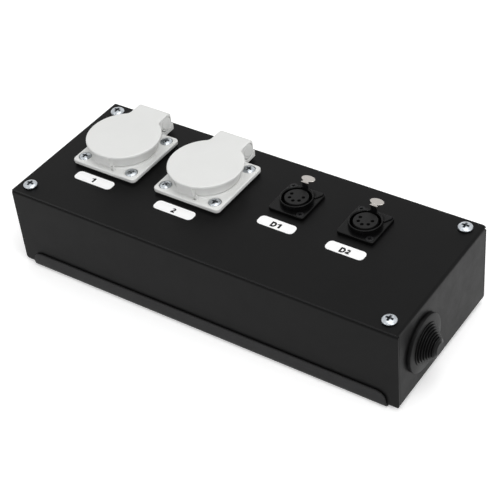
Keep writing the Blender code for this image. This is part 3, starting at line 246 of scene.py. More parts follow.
# Screws with pan heads; the foot of a head is given as shares of its radius and of its rim
COVER_HEAD = (0.0047, 0.0026)
COVER_SHANK = (0.0023, 0.013)
FLANGE_HEAD = (0.0040, 0.0022)
FLANGE_SCREW_LENGTH = 0.012
HEAD_RIM = 0.36
HEAD_FOOT = ((1.0, 0.9), (0.985, 0.25), (0.95, 0.0))
SCREW_TURN = 37

# Cross recess: shares of the head's radius, how it narrows downwards, and shares of the head's height
RECESS_LONG = 0.64
RECESS_WIDE = 0.18
RECESS_TAPER = (0.5, 0.65, 1.0)
RECESS_DEPTH = 0.72
RECESS_SKIN = 0.06
RECESS_SPARE = SPARE / 10

# Labels and their characters; the flag of the figure 1 is in shares of the stroke and of the height
LABEL_CORNER = 0.0030
CHARACTER_HEIGHT = 0.0042
CHARACTER_STROKE = 0.0014
CHARACTER_WEIGHT = 0.1
CHARACTER_SQUEEZE = 0.86
CHARACTER_SPACE = 0.25
CAPITAL_SHARE = 0.729
FIGURE_SHARE = 0.66
FIGURE_THIN = 0.8
FIGURE_FLAG = ((0.5, 1.0), (-0.05, 1.0), (-1.45, 0.80), (-1.45, 0.62), (0.5, 0.80))
BOW_ANGLES = (165.0, -40.0)
INK_THICKNESS = 0.00003
LABEL_TEXTS = {"label_1": ("1", (-0.0006, -0.0003)), "label_2": ("2", (-0.0002, -0.0006)),
               "label_d1": ("D1", (-0.0002, -0.0005)), "label_d2": ("D2", (-0.0001, -0.0006))}

# How much lighter or darker the tray's coat, a plated screw's recess and a socket's well are than their
# kind; the tray's lightening is painted light, the recess's darkening is painted shade
TRAY_PAINTED_LIGHT = 5.2
RECESS_PAINTED_SHADE = 0.36
INSERT_SHADE = 0.97

# Stage: where the camera stands, the lamps' places, targets and sizes, and the tones around the object
SENSOR_WIDTH = 36.0
CLIP_START = 0.01
CAMERA_PLACE = (0.424729, -0.547697, 0.608793)
KEY_LIGHT = ((0.45, -0.30, 1.35), (0, 0, 0.03), (0.7, 0.6))
TOP_LIGHT = ((0.1, 0.25, 1.5), (0, 0, 0.05), (1.0, 0.9))
SIDE_LIGHT = ((1.25, -0.45, 0.62), (0.1, 0, 0.03), (0.8, 0.6))
EDGE_LIGHT = ((-0.75, -0.99, 0.99), (0, 0, 0.06), (0.2, 0.2))
FRONT_LIGHT = ((0.33, -1.08, 1.05), (0.1, 0, 0.05), (0.14, 0.14))
SKY_LEVELS = ((0.15, 0.46), (0.55, 0.56))
WHITE = (1.0, 1.0, 1.0, 1.0)
FLOOR_COLOUR = (0.90, 0.90, 0.90)
FLOOR_ROUGHNESS = 0.9
FLOOR_LIFT = 0.35
FLOOR_SIZE = 6.0

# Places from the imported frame, and how sockets, connectors and screws are told apart in its names
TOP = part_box("top_cover")[1].z
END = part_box("top_cover")[1].x
NUMBERS = (1, 2)
CORNERS = ("front_left", "front_right", "back_left", "back_right")


def length_setting(name, description, default, low, high):
    """A length that a user may change, with its limits."""
    return FloatProperty(name=name, description=description, default=default, min=low, max=high,
                         unit="LENGTH", precision=5)


def colour_setting(name, description, default):
    """A colour that a user may change."""
    return FloatVectorProperty(name=name, description=description, default=default, min=0.0, max=1.0,
                               size=3, subtype="COLOR")


def angle_setting(name, description, degrees):
    """An angle of the camera, given in degrees."""
    return FloatProperty(name=name, description=description, default=math.radians(degrees),
                         unit="ROTATION", subtype="ANGLE")


def power_setting(name, description, default):
    """The power of a light."""
    return FloatProperty(name=name, description=description, default=default, min=0.0, max=200.0,
                         unit="POWER")


class OutletBoxSizes(bpy.types.PropertyGroup):
    """Sizes of the finished pieces."""

    sheet_edge: length_setting("Sheet edge", "Rounding on the edges of the bent sheets", 0.00032, 0.0, 0.001)
    moulded_edge: length_setting("Moulded edge", "Rounding on the sharp edges of moulded pieces",
                                 0.00018, 0.0, 0.0006)
    lid_round: length_setting("Lid rim", "Rounding of the rim of a socket lid", LID_ROUND, 0.0002, 0.0015)
    lug_width: length_setting("Lug width", "Width of the lug at the front of a lid", LUG_WIDTH, 0.006, 0.018)
    tab_half_width: length_setting("Tab half width", "Half the width of the push tab's thumb plate",
                                   TAB_HALF_WIDTH, 0.003, 0.007)
    character_height: length_setting("Character height", "Height of the characters on the labels",
                                     CHARACTER_HEIGHT, 0.002, 0.007)


class OutletBoxColours(bpy.types.PropertyGroup):
    """Colours of the finishes."""

    powder: colour_setting("Powder coat", "Colour of the bent sheets", (0.0045, 0.0045, 0.0046))
    moulding: colour_setting("White moulding", "Colour of the socket frames and lids", (0.75, 0.755, 0.742))
    seal: colour_setting("Seal", "Colour of the seals under the sockets", (0.012, 0.012, 0.012))
    zinc: colour_setting("Zinc plate", "Colour of the plated screws", (0.50, 0.53, 0.56))
    nickel: colour_setting("Nickel", "Colour of the push tabs", (0.49, 0.465, 0.44))
    nylon: colour_setting("Black nylon", "Colour of the connector shells", (0.002, 0.002, 0.0021))
    rubber: colour_setting("Rubber", "Colour of the grommet", (0.004, 0.004, 0.0041))
    film: colour_setting("Label film", "Colour of the labels", (0.97, 0.97, 0.97))


class OutletBoxStage(bpy.types.PropertyGroup):
    """Camera and lights."""

    azimuth: angle_setting("Azimuth", "Bearing of the camera's view, from straight ahead", 37.501)
    elevation: angle_setting("Elevation", "How far the camera looks down", 40.075)
    roll: angle_setting("Roll", "Turn of the camera about its view", 5.983)
    lens: FloatProperty(name="Lens", description="Focal length of the camera, in millimetres",
                        default=101.537, min=20.0, max=300.0, subtype="DISTANCE_CAMERA")
    key_power: power_setting("Key light", "Power of the large soft light in front", 4.1)
    top_power: power_setting("Top light", "Power of the soft light overhead", 3.8)
    side_power: power_setting("Side light", "Power of the soft light at the right end", 5.0)
    edge_power: power_setting("Edge light", "Power of the small light that the front edge mirrors", 1.0)
    front_power: power_setting("Front light", "Power of the small light that rounded ridges mirror", 0.8)


def on_circle(radius, degrees, centre=(0.0, 0.0)):
    """The point of a circle at an angle from its first axis."""
    angle = math.radians(degrees)
    return (centre[0] + radius * math.cos(angle), centre[1] + radius * math.sin(angle))


def block(low, high):
    """A rectangular block between its lowest and its highest corner."""
    low = Vector(low)
    high = Vector(high)
    solid = bmesh.new()
    bmesh.ops.create_cube(solid, size=1.0)
    bmesh.ops.scale(solid, verts=solid.verts, vec=high - low)
    bmesh.ops.translate(solid, verts=solid.verts, vec=(low + high) / 2)
    return solid


def rod(radius, low, high, sides, centre=(0.0, 0.0)):
    """An upright rod."""
    solid = bmesh.new()
    bmesh.ops.create_cone(solid, cap_ends=True, segments=sides, radius1=radius, radius2=radius,
                          depth=high - low)
    bmesh.ops.translate(solid, verts=solid.verts, vec=(*centre, (low + high) / 2))
    return solid


def spun(profile, sides, ring=False):
    """A round solid about Z; its profile of radius and height ends on the axis, or is a closed ring."""
    solid = bmesh.new()
    points = [solid.verts.new((radius, 0.0, height)) for radius, height in profile]
    edges = [solid.edges.new(pair) for pair in zip(points, points[1:])]
    if ring:
        edges.append(solid.edges.new((points[-1], points[0])))
    bmesh.ops.spin(solid, geom=points + edges, cent=(0, 0, 0), axis=(0, 0, 1), dvec=(0, 0, 0),
                   angle=math.tau, steps=sides, use_merge=True)
    bmesh.ops.remove_doubles(solid, verts=solid.verts, dist=MERGE)
    bmesh.ops.recalc_face_normals(solid, faces=solid.faces)
    return solid


def drawn_out(solid, thickness):
    """The solid that a flat face gives when it is drawn out along Z."""
    grown = bmesh.ops.extrude_face_region(solid, geom=solid.faces[:])["geom"]
    ends = [item for item in grown if isinstance(item, bmesh.types.BMVert)]
    bmesh.ops.translate(solid, verts=ends, vec=(0, 0, thickness))
    bmesh.ops.recalc_face_normals(solid, faces=solid.faces)
    return solid


def traced(start, moves, thickness):
    """A plate with a traced outline: each move is a point to go to, or a centre and degrees to swing by."""
    solid = bmesh.new()
    pen = solid.verts.new((*start, 0.0))
    for first, second in moves:
        if isinstance(first, tuple):
            swing = bmesh.ops.spin(solid, geom=[pen], cent=(*first, 0.0), axis=(0, 0, 1), dvec=(0, 0, 0),
                                   angle=math.radians(second), steps=max(2, round(abs(second) / ARC_STEP)))
            pen = swing["geom_last"][0]
        else:
            corner = solid.verts.new((first, second, 0.0))
            solid.edges.new((pen, corner))
            pen = corner
    bmesh.ops.remove_doubles(solid, verts=solid.verts, dist=MERGE)
    open_ends = [vert for vert in solid.verts if len(vert.link_edges) == 1]
    if open_ends:
        solid.edges.new(open_ends)
    bmesh.ops.contextual_create(solid, geom=solid.edges[:])
    return drawn_out(solid, thickness)


def slab(width, depth, corner, low, high, segments=SEGMENTS_CORNER):
    """An upright slab whose four corners are rounded."""
    solid = block((-width / 2, -depth / 2, low), (width / 2, depth / 2, high))
    upright = [edge for edge in solid.edges if abs(edge.verts[0].co.z - edge.verts[1].co.z) > MERGE]
    bmesh.ops.bevel(solid, geom=upright, offset=corner, segments=segments, profile=0.5, affect="EDGES",
                    material=-1)
    return solid


def shifted(solid, shift):
    """The same solid, moved."""
    bmesh.ops.translate(solid, verts=solid.verts, vec=shift)
    return solid


def turned(solid, degrees, axis):
    """The same solid, turned about one axis through the origin."""
    bmesh.ops.rotate(solid, verts=solid.verts, cent=(0, 0, 0),
                     matrix=Matrix.Rotation(math.radians(degrees), 3, axis))
    return solid


def on_side(solid):
    """The same solid with its X, Y and Z laid along Y, Z and X."""
    bmesh.ops.transform(solid, verts=solid.verts, matrix=Matrix(((0, 0, 1, 0), (1, 0, 0, 0), (0, 1, 0, 0),
                                                                 (0, 0, 0, 1))))
    return solid


def lies_at(height):
    """A test for edges that lie level at one height."""
    return lambda edge: all(abs(vert.co.z - height) < MERGE for vert in edge.verts)


def eased(solid, width, chosen, segments=4):
    """The same solid with the chosen edges rounded."""
    edges = [edge for edge in solid.edges if chosen(edge) and edge.is_manifold
             and edge.calc_face_angle(0.0) > math.radians(ROUNDED_ANGLE)]
    bmesh.ops.bevel(solid, geom=edges, offset=width, segments=segments, profile=0.5, affect="EDGES",
                    material=-1)
    return solid


def gathered(*solids):
    """Several separate solids in one mesh, to cut with at once."""
    group = bmesh.new()
    for solid in solids:
        mesh = bpy.data.meshes.new("gathered")
        solid.to_mesh(mesh)
        solid.free()
        group.from_mesh(mesh)
        bpy.data.meshes.remove(mesh)
    return group


def helper_object(solid):
    """A short-lived object that carries one solid."""
    mesh = bpy.data.meshes.new("helper")
    solid.to_mesh(mesh)
    solid.free()
    made = bpy.data.objects.new("helper", mesh)
    bpy.context.scene.collection.objects.link(made)
    return made


def combined(solid, operation, tools):
    """One solid joined with others, or cut by them, one after the other."""
    target = helper_object(solid)
    helpers = [helper_object(tool) for tool in tools]
    for helper in helpers:
        step = target.modifiers.new("combine", "BOOLEAN")
        step.operation = operation
        step.solver = "EXACT"
        step.object = helper
    result = bmesh.new()
    result.from_object(target, bpy.context.evaluated_depsgraph_get())
    for used in [target] + helpers:
        mesh = used.data
        bpy.data.objects.remove(used)
        bpy.data.meshes.remove(mesh)
    bmesh.ops.remove_doubles(result, verts=result.verts, dist=WELD)
    bmesh.ops.dissolve_limit(result, angle_limit=math.radians(FLAT_ANGLE), verts=result.verts,
                             edges=result.edges)
    return result


def joined(solid, *tools):
    """A union of solids that overlap."""
    return combined(solid, "UNION", tools)


def cut(solid, *tools):
    """A solid with other solids taken out of it."""
    return combined(solid, "DIFFERENCE", tools)


def copy_of(solid, shift=(0.0, 0.0, 0.0)):
    """A moved copy of a solid."""
    return shifted(solid.copy(), shift)


def laid_across(plate, width):
    """A traced plate of this width, stood up so that it reaches along X on both sides of the middle."""
    return shifted(on_side(plate), (-width / 2, 0, 0))


def added(name, solid, looks, body, nodes, edge=0.0):
    """Puts a finished piece in the scene, on its body, in the place of the nodes that it stands for."""
    mesh = bpy.data.meshes.new(name)
    solid.to_mesh(mesh)
    solid.free()
    for look in looks:
        mesh.materials.append(finishes(look))
    mesh.shade_smooth()
    piece = bpy.data.objects.new(name, mesh)
    bpy.context.scene.collection.objects.link(piece)
    if edge:
        ease = piece.modifiers.new("fine edges", "BEVEL")
        ease.width = edge
        ease.segments = 2
        ease.limit_method = "ANGLE"
        ease.angle_limit = math.radians(EASED_ANGLE)
        level = piece.modifiers.new("even shading", "WEIGHTED_NORMAL")
        level.weight = SHADING_WEIGHT
    else:
        mesh.set_sharp_from_angle(angle=math.radians(SHARP_ANGLE))
    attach(piece, body)
    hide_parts(*nodes)
    return piece


def middle(node):
    """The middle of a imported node's box."""
    low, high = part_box(node)
    return (low + high) / 2


def on_top(node):
    """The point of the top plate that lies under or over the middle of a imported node."""
    centre = middle(node)
    return Vector((centre.x, centre.y, TOP))


def socket_centre(number):
    """Where a mains socket's own centre is on the top plate."""
    return on_top(f"socket_gasket_{number}")


def connector_centre(number):
    """Where a signal connector's own centre is on the top plate."""
    return on_top(f"contact_carrier_{number}")


def node_group(name, inputs, outputs):
    """An empty node group with its inputs and outputs, and the two nodes that carry them."""
    group = bpy.data.node_groups.new(name, "ShaderNodeTree")
    for label, kind, value in inputs:
        socket = group.interface.new_socket(label, in_out="INPUT", socket_type=f"NodeSocket{kind}")
        if value is not None:
            socket.default_value = value
    for label, kind in outputs:
        group.interface.new_socket(label, in_out="OUTPUT", socket_type=f"NodeSocket{kind}")
    return group, group.nodes.new("NodeGroupInput"), group.nodes.new("NodeGroupOutput")


def filled(node, values):
    """The same node with its inputs set by name; an underscore stands for a space."""
    for label, value in values.items():
        node.inputs[label.replace("_", " ")].default_value = value
    return node


def placed(tree, kind, setting=None, **values):
    """A new node in a tree, with its one setting and its inputs."""
    node = tree.nodes.new(f"ShaderNode{kind}")
    if setting:
        setattr(node, *setting)
    return filled(node, values)


def wired(tree, *wires):
    """Joins nodes of a tree; each wire is a node, its output, another node and its input."""
    for source, output, target, entry in wires:
        tree.links.new(source.outputs[output], target.inputs[entry])


def mottle_group():
    """Two shades of one colour that drift into each other over the surface."""
    group, given, result = node_group(
        "mottle", [("Vector", "Vector", None), ("Scale", "Float", 40.0), ("Light", "Color", None),
                   ("Dark", "Color", None)], [("Colour", "Color")])
    drift = placed(group, "TexNoise", Detail=4.0, Roughness=0.6)
    spread = placed(group, "MapRange", From_Min=0.3, From_Max=0.7)
    blend = placed(group, "Mix", ("data_type", "RGBA"))
    wired(group, (given, "Vector", drift, "Vector"), (given, "Scale", drift, "Scale"),
          (drift, "Fac", spread, "Value"), (spread, "Result", blend, "Factor"), (given, "Dark", blend, "A"),
          (given, "Light", blend, "B"), (blend, "Result", result, "Colour"))
    return group


def gloss_group():
    """Roughness that changes a little over the surface, as handled and moulded surfaces do."""
    group, given, result = node_group(
        "uneven gloss", [("Vector", "Vector", None), ("Scale", "Float", 60.0), ("Low", "Float", 0.3),
                         ("High", "Float", 0.5)], [("Roughness", "Float")])
    drift = placed(group, "TexNoise", Detail=6.0, Roughness=0.7)
    spread = placed(group, "MapRange", From_Min=0.35, From_Max=0.65)
    wired(group, (given, "Vector", drift, "Vector"), (given, "Scale", drift, "Scale"),
          (drift, "Fac", spread, "Value"), (given, "Low", spread, "To Min"),
          (given, "High", spread, "To Max"), (spread, "Result", result, "Roughness"))
    return group


def grain_group():
    """Fine even grain, as the height of a bump."""
    group, given, result = node_group(
        "fine grain", [("Vector", "Vector", None), ("Scale", "Float", 2000.0), ("Pits", "Float", 0.3)],
        [("Height", "Float")])
    grain = placed(group, "TexNoise", Detail=3.0)
    pits = placed(group, "TexVoronoi", ("feature", "SMOOTH_F1"))
    total = placed(group, "Math", ("operation", "MULTIPLY_ADD"))
    wired(group, (given, "Vector", grain, "Vector"), (given, "Scale", grain, "Scale"),
          (given, "Vector", pits, "Vector"), (given, "Scale", pits, "Scale"), (pits, "Distance", total, 0),
          (given, "Pits", total, 1), (grain, "Fac", total, 2), (total, "Value", result, "Height"))
    return group


def brush_group():
    """Fine parallel marks, as the height of a bump."""
    group, given, result = node_group(
        "brush marks", [("Vector", "Vector", None), ("Stretch", "Vector", (1.0, 1.0, 1.0))],
        [("Height", "Float")])
    pulled = placed(group, "VectorMath", ("operation", "MULTIPLY"))
    marks = placed(group, "TexNoise", Scale=1.0, Detail=5.0, Roughness=0.7)
    wired(group, (given, "Vector", pulled, 0), (given, "Stretch", pulled, 1),
          (pulled, "Vector", marks, "Vector"), (marks, "Fac", result, "Height"))
    return group


def shared(tree, name, **values):
    """A node that stands for a shared group, which is built the first time that it is asked for."""
    makers = {"mottle": mottle_group, "uneven gloss": gloss_group, "fine grain": grain_group,
              "brush marks": brush_group}
    node = tree.nodes.new("ShaderNodeGroup")
    node.node_tree = bpy.data.node_groups.get(name) or makers[name]()
    return filled(node, values)


def finish(name, colour, tone=0.2, drift=45.0, roughness=(0.4, 0.55), gloss=70.0, grain=2500.0,
           depth=0.00001, pits=0.3, metallic=0.0, stretch=None, specular=0.5):
    """A finish with drifting colour, uneven gloss and a fine grain or brushed marks."""
    made = bpy.data.materials.new(name)
    made.use_nodes = True
    tree = made.node_tree
    shader = filled(tree.nodes["Principled BSDF"], {"Metallic": metallic, "Specular IOR Level": specular})
    where = placed(tree, "TexCoord")
    light, dark = [(*[min(1.0, part * (1 + share)) for part in colour], 1.0)
                   for share in (tone / 2, -tone / 2)]
    mottle = shared(tree, "mottle", Scale=drift, Light=light, Dark=dark)
    uneven = shared(tree, "uneven gloss", Scale=gloss, Low=roughness[0], High=roughness[1])
    if stretch:
        relief = shared(tree, "brush marks", Stretch=stretch)
    else:
        relief = shared(tree, "fine grain", Scale=grain, Pits=pits)
    bump = placed(tree, "Bump", Strength=1.0, Distance=depth)
    wired(tree, *[(where, "Object", group, "Vector") for group in (mottle, uneven, relief)],
          (mottle, "Colour", shader, "Base Color"), (uneven, "Roughness", shader, "Roughness"),
          (relief, "Height", bump, "Height"), (bump, "Normal", shader, "Normal"))
    return made


def finishes(name):
    """A finish by name, built the first time that it is asked for."""
    found = bpy.data.materials.get(name)
    if found:
        return found
    colours = bpy.context.scene.outlet_box_colours
    # The tray's coat is the powder lightened as painted light; the recess zinc is the zinc darkened as
    # painted shade
    painted_light_tray, insert_white, painted_recess_shade = [
        [part * share for part in shade] for shade, share in
        ((colours.powder, TRAY_PAINTED_LIGHT), (colours.moulding, INSERT_SHADE), (colours.zinc, RECESS_PAINTED_SHADE))]
    table = {
        "powder coat": dict(colour=colours.powder, tone=0.16, roughness=(0.34, 0.42), grain=1500.0,
                            depth=0.000012, pits=0.6, specular=0.085),
        "cover edge": dict(colour=colours.powder, tone=0.3, drift=160.0, roughness=(0.26, 0.36), gloss=300.0,
                           grain=1500.0, depth=0.000012, pits=0.6),
        # Painted light: the powder coat lightened to stand in for the floor's light on the tray's lip
        "tray powder with painted light": dict(colour=painted_light_tray, roughness=(0.50, 0.60), grain=1300.0, depth=0.00003, pits=0.6,
                          specular=0.12),
        "white moulding": dict(colour=colours.moulding, tone=0.035, drift=30.0, roughness=(0.34, 0.46),
                               grain=3500.0, depth=0.000004),
        "white insert": dict(colour=insert_white, tone=0.04, roughness=(0.42, 0.55), grain=3500.0,
                             depth=0.000005),
        "black seal": dict(colour=colours.seal, roughness=(0.7, 0.85), grain=2600.0, depth=0.00003,
                           pits=0.8, specular=0.1),
        "zinc plate": dict(colour=colours.zinc, tone=0.5, drift=420.0, roughness=(0.20, 0.34), gloss=400.0,
                           metallic=1.0, stretch=(900.0, 900.0, 2600.0), depth=0.000012),
        # Painted shade: the zinc inside a cross recess, darkened below the plated zinc
        "zinc with painted recess shade": dict(colour=painted_recess_shade, tone=0.5, drift=700.0, roughness=(0.25, 0.4), gloss=500.0,
                            metallic=1.0),
        "spring steel": dict(colour=(0.5, 0.5, 0.5), drift=200.0, roughness=(0.28, 0.42), metallic=1.0,
                             stretch=(3000.0, 700.0, 700.0), depth=0.000006),
        "contact brass": dict(colour=(0.62, 0.48, 0.24), drift=150.0, roughness=(0.3, 0.45), metallic=1.0,
                              stretch=(2500.0, 2500.0, 500.0), depth=0.000006),
        "black nylon": dict(colour=colours.nylon, roughness=(0.22, 0.30), grain=2200.0, depth=0.000008,
                            specular=0.15),
        "black insert": dict(colour=(0.008, 0.008, 0.0081), roughness=(0.45, 0.55), grain=2600.0,
                             depth=0.000012, specular=0.16),
        "nickel plate": dict(colour=colours.nickel, tone=0.1, drift=160.0, roughness=(0.16, 0.24),
                             gloss=300.0, metallic=1.0, stretch=(600.0, 3200.0, 3200.0), depth=0.000006),
        # The black of the connector screws, also used as painted shade on the push tabs' metal legs
        "black screw": dict(colour=(0.012, 0.012, 0.013), tone=0.3, drift=300.0, roughness=(0.3, 0.45),
                            metallic=0.6),
        "grommet rubber": dict(colour=colours.rubber, tone=0.25, roughness=(0.36, 0.46), grain=1800.0,
                               pits=0.6, specular=0.11),
        "label film": dict(colour=colours.film, tone=0.015, roughness=(0.4, 0.5), grain=3000.0,
                           depth=0.000003, specular=0.3),
        "label ink": dict(colour=(0.003, 0.003, 0.003), tone=0.3, drift=400.0, grain=3000.0,
                          depth=0.000003, specular=0.08),
        "block plastic": dict(colour=(0.75, 0.75, 0.72), tone=0.08),
    }
    return finish(name, **table[name])


def dressed_copy(node, name, look, edge):
    """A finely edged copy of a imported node, which it stands for."""
    solid = bmesh.new()
    solid.from_mesh(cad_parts[node].data)
    bmesh.ops.remove_doubles(solid, verts=solid.verts, dist=MERGE)
    bmesh.ops.dissolve_limit(solid, angle_limit=math.radians(0.5), verts=solid.verts, edges=solid.edges)
    return added(name, solid, [look], "outlet_box", [node], edge)


def dressed_node(node, look):
    """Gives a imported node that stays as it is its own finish."""
    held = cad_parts[node]
    held.data.materials.clear()
    held.data.materials.append(finishes(look))


def cross_cutter(radius, top, depth):
    """The cutter of a cross recess: two tapered bars that cross."""
    cutters = []
    for quarter in (0, 90):
        arm = block((-radius * RECESS_LONG, -radius * RECESS_WIDE, top - depth),
                    (radius * RECESS_LONG, radius * RECESS_WIDE, top + RECESS_SPARE))
        foot = [vert for vert in arm.verts if vert.co.z < top]
        bmesh.ops.scale(arm, verts=foot, vec=RECESS_TAPER)
        cutters.append(turned(arm, quarter, "Z"))
    return joined(*cutters)


def pan_head(radius, height, shank, length, sides):
    """A pan-head screw with a domed top and a cross recess; the recess's second finish is darker zinc,
    painted shade.
    """
    rim = height * HEAD_RIM
    crown = height - rim
    dome = [(radius * math.sin(math.radians(angle)), rim + crown * math.cos(math.radians(angle)))
            for angle in range(0, 90, DOME_STEP)]
    foot = [(radius * out, rim * up) for out, up in HEAD_FOOT]
    screw = spun(dome + foot + [(shank, 0.0), (shank, -length + shank / 2), (shank / 2, -length),
                                (0.0, -length)], sides)
    screw = cut(screw, cross_cutter(radius, height, height * RECESS_DEPTH))
    # Faces inside the cross recess take the second finish, darker zinc that is painted shade
    for face in screw.faces:
        spot = face.calc_center_median()
        out = math.hypot(spot.x, spot.y)
        skin = rim + crown * math.sqrt(max(0.0, 1 - (out / radius) ** 2)) - height * RECESS_SKIN
        if out < radius * RECESS_LONG and 0 < spot.z < skin:
            face.material_index = 1
    return screw


class OUTLETBOX_OT_sheet_metal(bpy.types.Operator):
    """Bent cover, base channel and tray with softened edges and a fine powder coat."""

    bl_idname = "outlet_box.sheet_metal"
    bl_label = "Sheet metal"

    def execute(self, context):
        edge = context.scene.outlet_box_sizes.sheet_edge
        cover = dressed_copy("top_cover", "cover", "powder coat", edge)
        cover.data.materials.append(finishes("cover edge"))
        cover.modifiers["fine edges"].material = 1
        dressed_copy("base_channel", "base", "powder coat", edge)
        # The tray's finish is the powder coat lightened as painted light
        dressed_copy("mounting_tray", "tray", "tray powder with painted light", edge)
        return {"FINISHED"}


def plated_screw(master, name, node, height, degrees=0.0):
    """Stands a turned copy of a pan-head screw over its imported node, flush with the node's top."""
    centre = middle(node)
    screw = turned(copy_of(master), degrees, "Z")
    shifted(screw, (centre.x, centre.y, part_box(node)[1].z - height))
    # The second finish paints shade into the cross recess
    added(name, screw, ["zinc plate", "zinc with painted recess shade"], "outlet_box", [node])


class OUTLETBOX_OT_cover_screws(bpy.types.Operator):
    """The four domed screws that hold the cover."""

    bl_idname = "outlet_box.cover_screws"
    bl_label = "Cover screws"

    def execute(self, context):
        master = pan_head(*COVER_HEAD, *COVER_SHANK, SIDES_ROUND)
        for corner in CORNERS:
            plated_screw(master, f"cover_screw_piece_{corner}", f"cover_screw_{corner}", COVER_HEAD[1])
        master.free()
        return {"FINISHED"}


def flange_rods(radius, low, high, sides):
    """Four rods at the screws of a socket's flange."""
    half = FLANGE_PITCH / 2
    return [rod(radius, low, high, sides, (x, y)) for y in (-half, half) for x in (-half, half)]


def pin_bore(half_length):
    """The cutter of the hinge pin's bore."""
    return shifted(on_side(rod(HINGE_BORE, -half_length, half_length, SIDES_SMALL)), (0, *HINGE))


def hinge_bracket():
    """The bracket behind the flange, hollowed along the path of the lid's turning hood."""
    sweep = math.hypot(HOOD_BACK - HOOD_CORNER, LID_TOP - HINGE_Z - HOOD_CORNER) + HOOD_CORNER
    cradle = max(BARREL_RADIUS, sweep) + 2 * GAP
    reach = math.degrees(math.asin((HINGE_Z - BRACKET_TOP) / cradle))
    bracket = traced((COLLAR_FOOT - GAP, BRACKET_BOTTOM),
                     [(BRACKET_BACK, BRACKET_BOTTOM), (BRACKET_BACK, BRACKET_TOP),
                      on_circle(cradle, -reach, HINGE), (HINGE, 2 * reach - 180),
                      (COLLAR_FOOT + GAP, BRACKET_TOP), (COLLAR_FOOT - GAP, FLANGE_TOP)], BRACKET_WIDTH)
    return laid_across(bracket, BRACKET_WIDTH)


def hinge_knuckle():
    """The eye that the hinge pin runs through, on its stalk."""
    first = on_circle(KNUCKLE_RADIUS, EYE_FROM, HINGE)
    last = on_circle(KNUCKLE_RADIUS, EYE_FROM + EYE_SWEEP, HINGE)
    stalk = BRACKET_BOTTOM + SHEET
    eye = traced(first, [(HINGE, EYE_SWEEP), (last[0], stalk), (first[0], stalk)], KNUCKLE_WIDTH)
    return laid_across(eye, KNUCKLE_WIDTH)


def pocket_rims():
    """The low rings around the four screw pockets."""
    half = FLANGE_PITCH / 2
    inner = POCKET_RADIUS - TUCK
    outer = POCKET_RADIUS + POCKET_RIM
    crest = FLANGE_TOP + POCKET_RIM_HEIGHT
    ring = [(inner, POCKET_BOTTOM), (outer, POCKET_BOTTOM), (outer, FLANGE_TOP),
            (POCKET_RADIUS + POCKET_RIM * POCKET_SLOPE, crest), (inner, crest)]
    return gathered(*[shifted(spun(ring, SIDES_SMALL, ring=True), (x, y, 0))
                      for y in (-half, half) for x in (-half, half)])


def frame_solid(sizes):
    """Socket frame: flange, coved collar, hinge bracket and knuckle, screw pockets, post and catch slot."""
    plate = slab(SOCKET_FLANGE, SOCKET_FLANGE, SOCKET_CORNER, FLANGE_BOTTOM, FLANGE_TOP)
    eased(plate, sizes.lid_round, lies_at(FLANGE_TOP))
    eased(plate, FLANGE_UNDERCUT, lies_at(FLANGE_BOTTOM), 2)
    root = FLANGE_TOP - SHEET
    bore = WELL_OUTSIDE + GAP
    arc = [on_circle(1.0, angle) for angle in range(90, -1, -COVE_STEP)]
    cove = [(COLLAR_FOOT - (COLLAR_FOOT - COLLAR_RADIUS) * out, COLLAR_TOP - (COLLAR_TOP - FLANGE_TOP) * up)
            for out, up in arc]
    collar = spun([(bore - SHEET, root), (COLLAR_FOOT, root)] + cove + [(bore - SHEET, COLLAR_TOP)],
                  SIDES_RIM, ring=True)
    post = slab(*POST_SIZE, POST_SIZE[1] * POST_CORNER, FLANGE_TOP - SHEET / 2, POST_TOP, 4)
    eased(post, POST_SIZE[1] * POST_ROUND, lies_at(POST_TOP), 3)
    shifted(post, (*POST_PLACE, 0))
    body = joined(plate, collar, hinge_bracket(), hinge_knuckle(), pocket_rims(), post)
    above = COLLAR_TOP + SPARE
    below = FLANGE_BOTTOM - SPARE
    pockets = flange_rods(POCKET_RADIUS, POCKET_BOTTOM, above, SIDES_SMALL)
    shanks = flange_rods(FLANGE_SHANK + SCREW_CLEARANCE, below, POCKET_BOTTOM + SHEET, SIDES_TINY)
    catch = slab(*CATCH_SIZE, CATCH_SIZE[1] * CATCH_CORNER, below, above, 4)
    shifted(catch, (*CATCH_PLACE, 0))
    return cut(body, gathered(*pockets), gathered(*shanks, pin_bore(BRACKET_WIDTH), catch),
               rod(bore, below, above, SIDES_RIM))


class OUTLETBOX_OT_socket_frames(bpy.types.Operator):
    """The white frames of the mains sockets, with their wells."""

    bl_idname = "outlet_box.socket_frames"
    bl_label = "Socket frames"

    def execute(self, context):
        sizes = context.scene.outlet_box_sizes
        master = frame_solid(sizes)
        well = well_solid()
        for number in NUMBERS:
            centre = socket_centre(number)
            added(f"frame_piece_{number}", copy_of(master, centre), ["white moulding"], "outlet_box",
                  [f"socket_frame_{number}"], sizes.moulded_edge)
            added(f"well_piece_{number}", copy_of(well, centre), ["white insert"], "outlet_box",
                  [f"socket_insert_{number}"], sizes.moulded_edge)
        master.free()
        well.free()
        return {"FINISHED"}


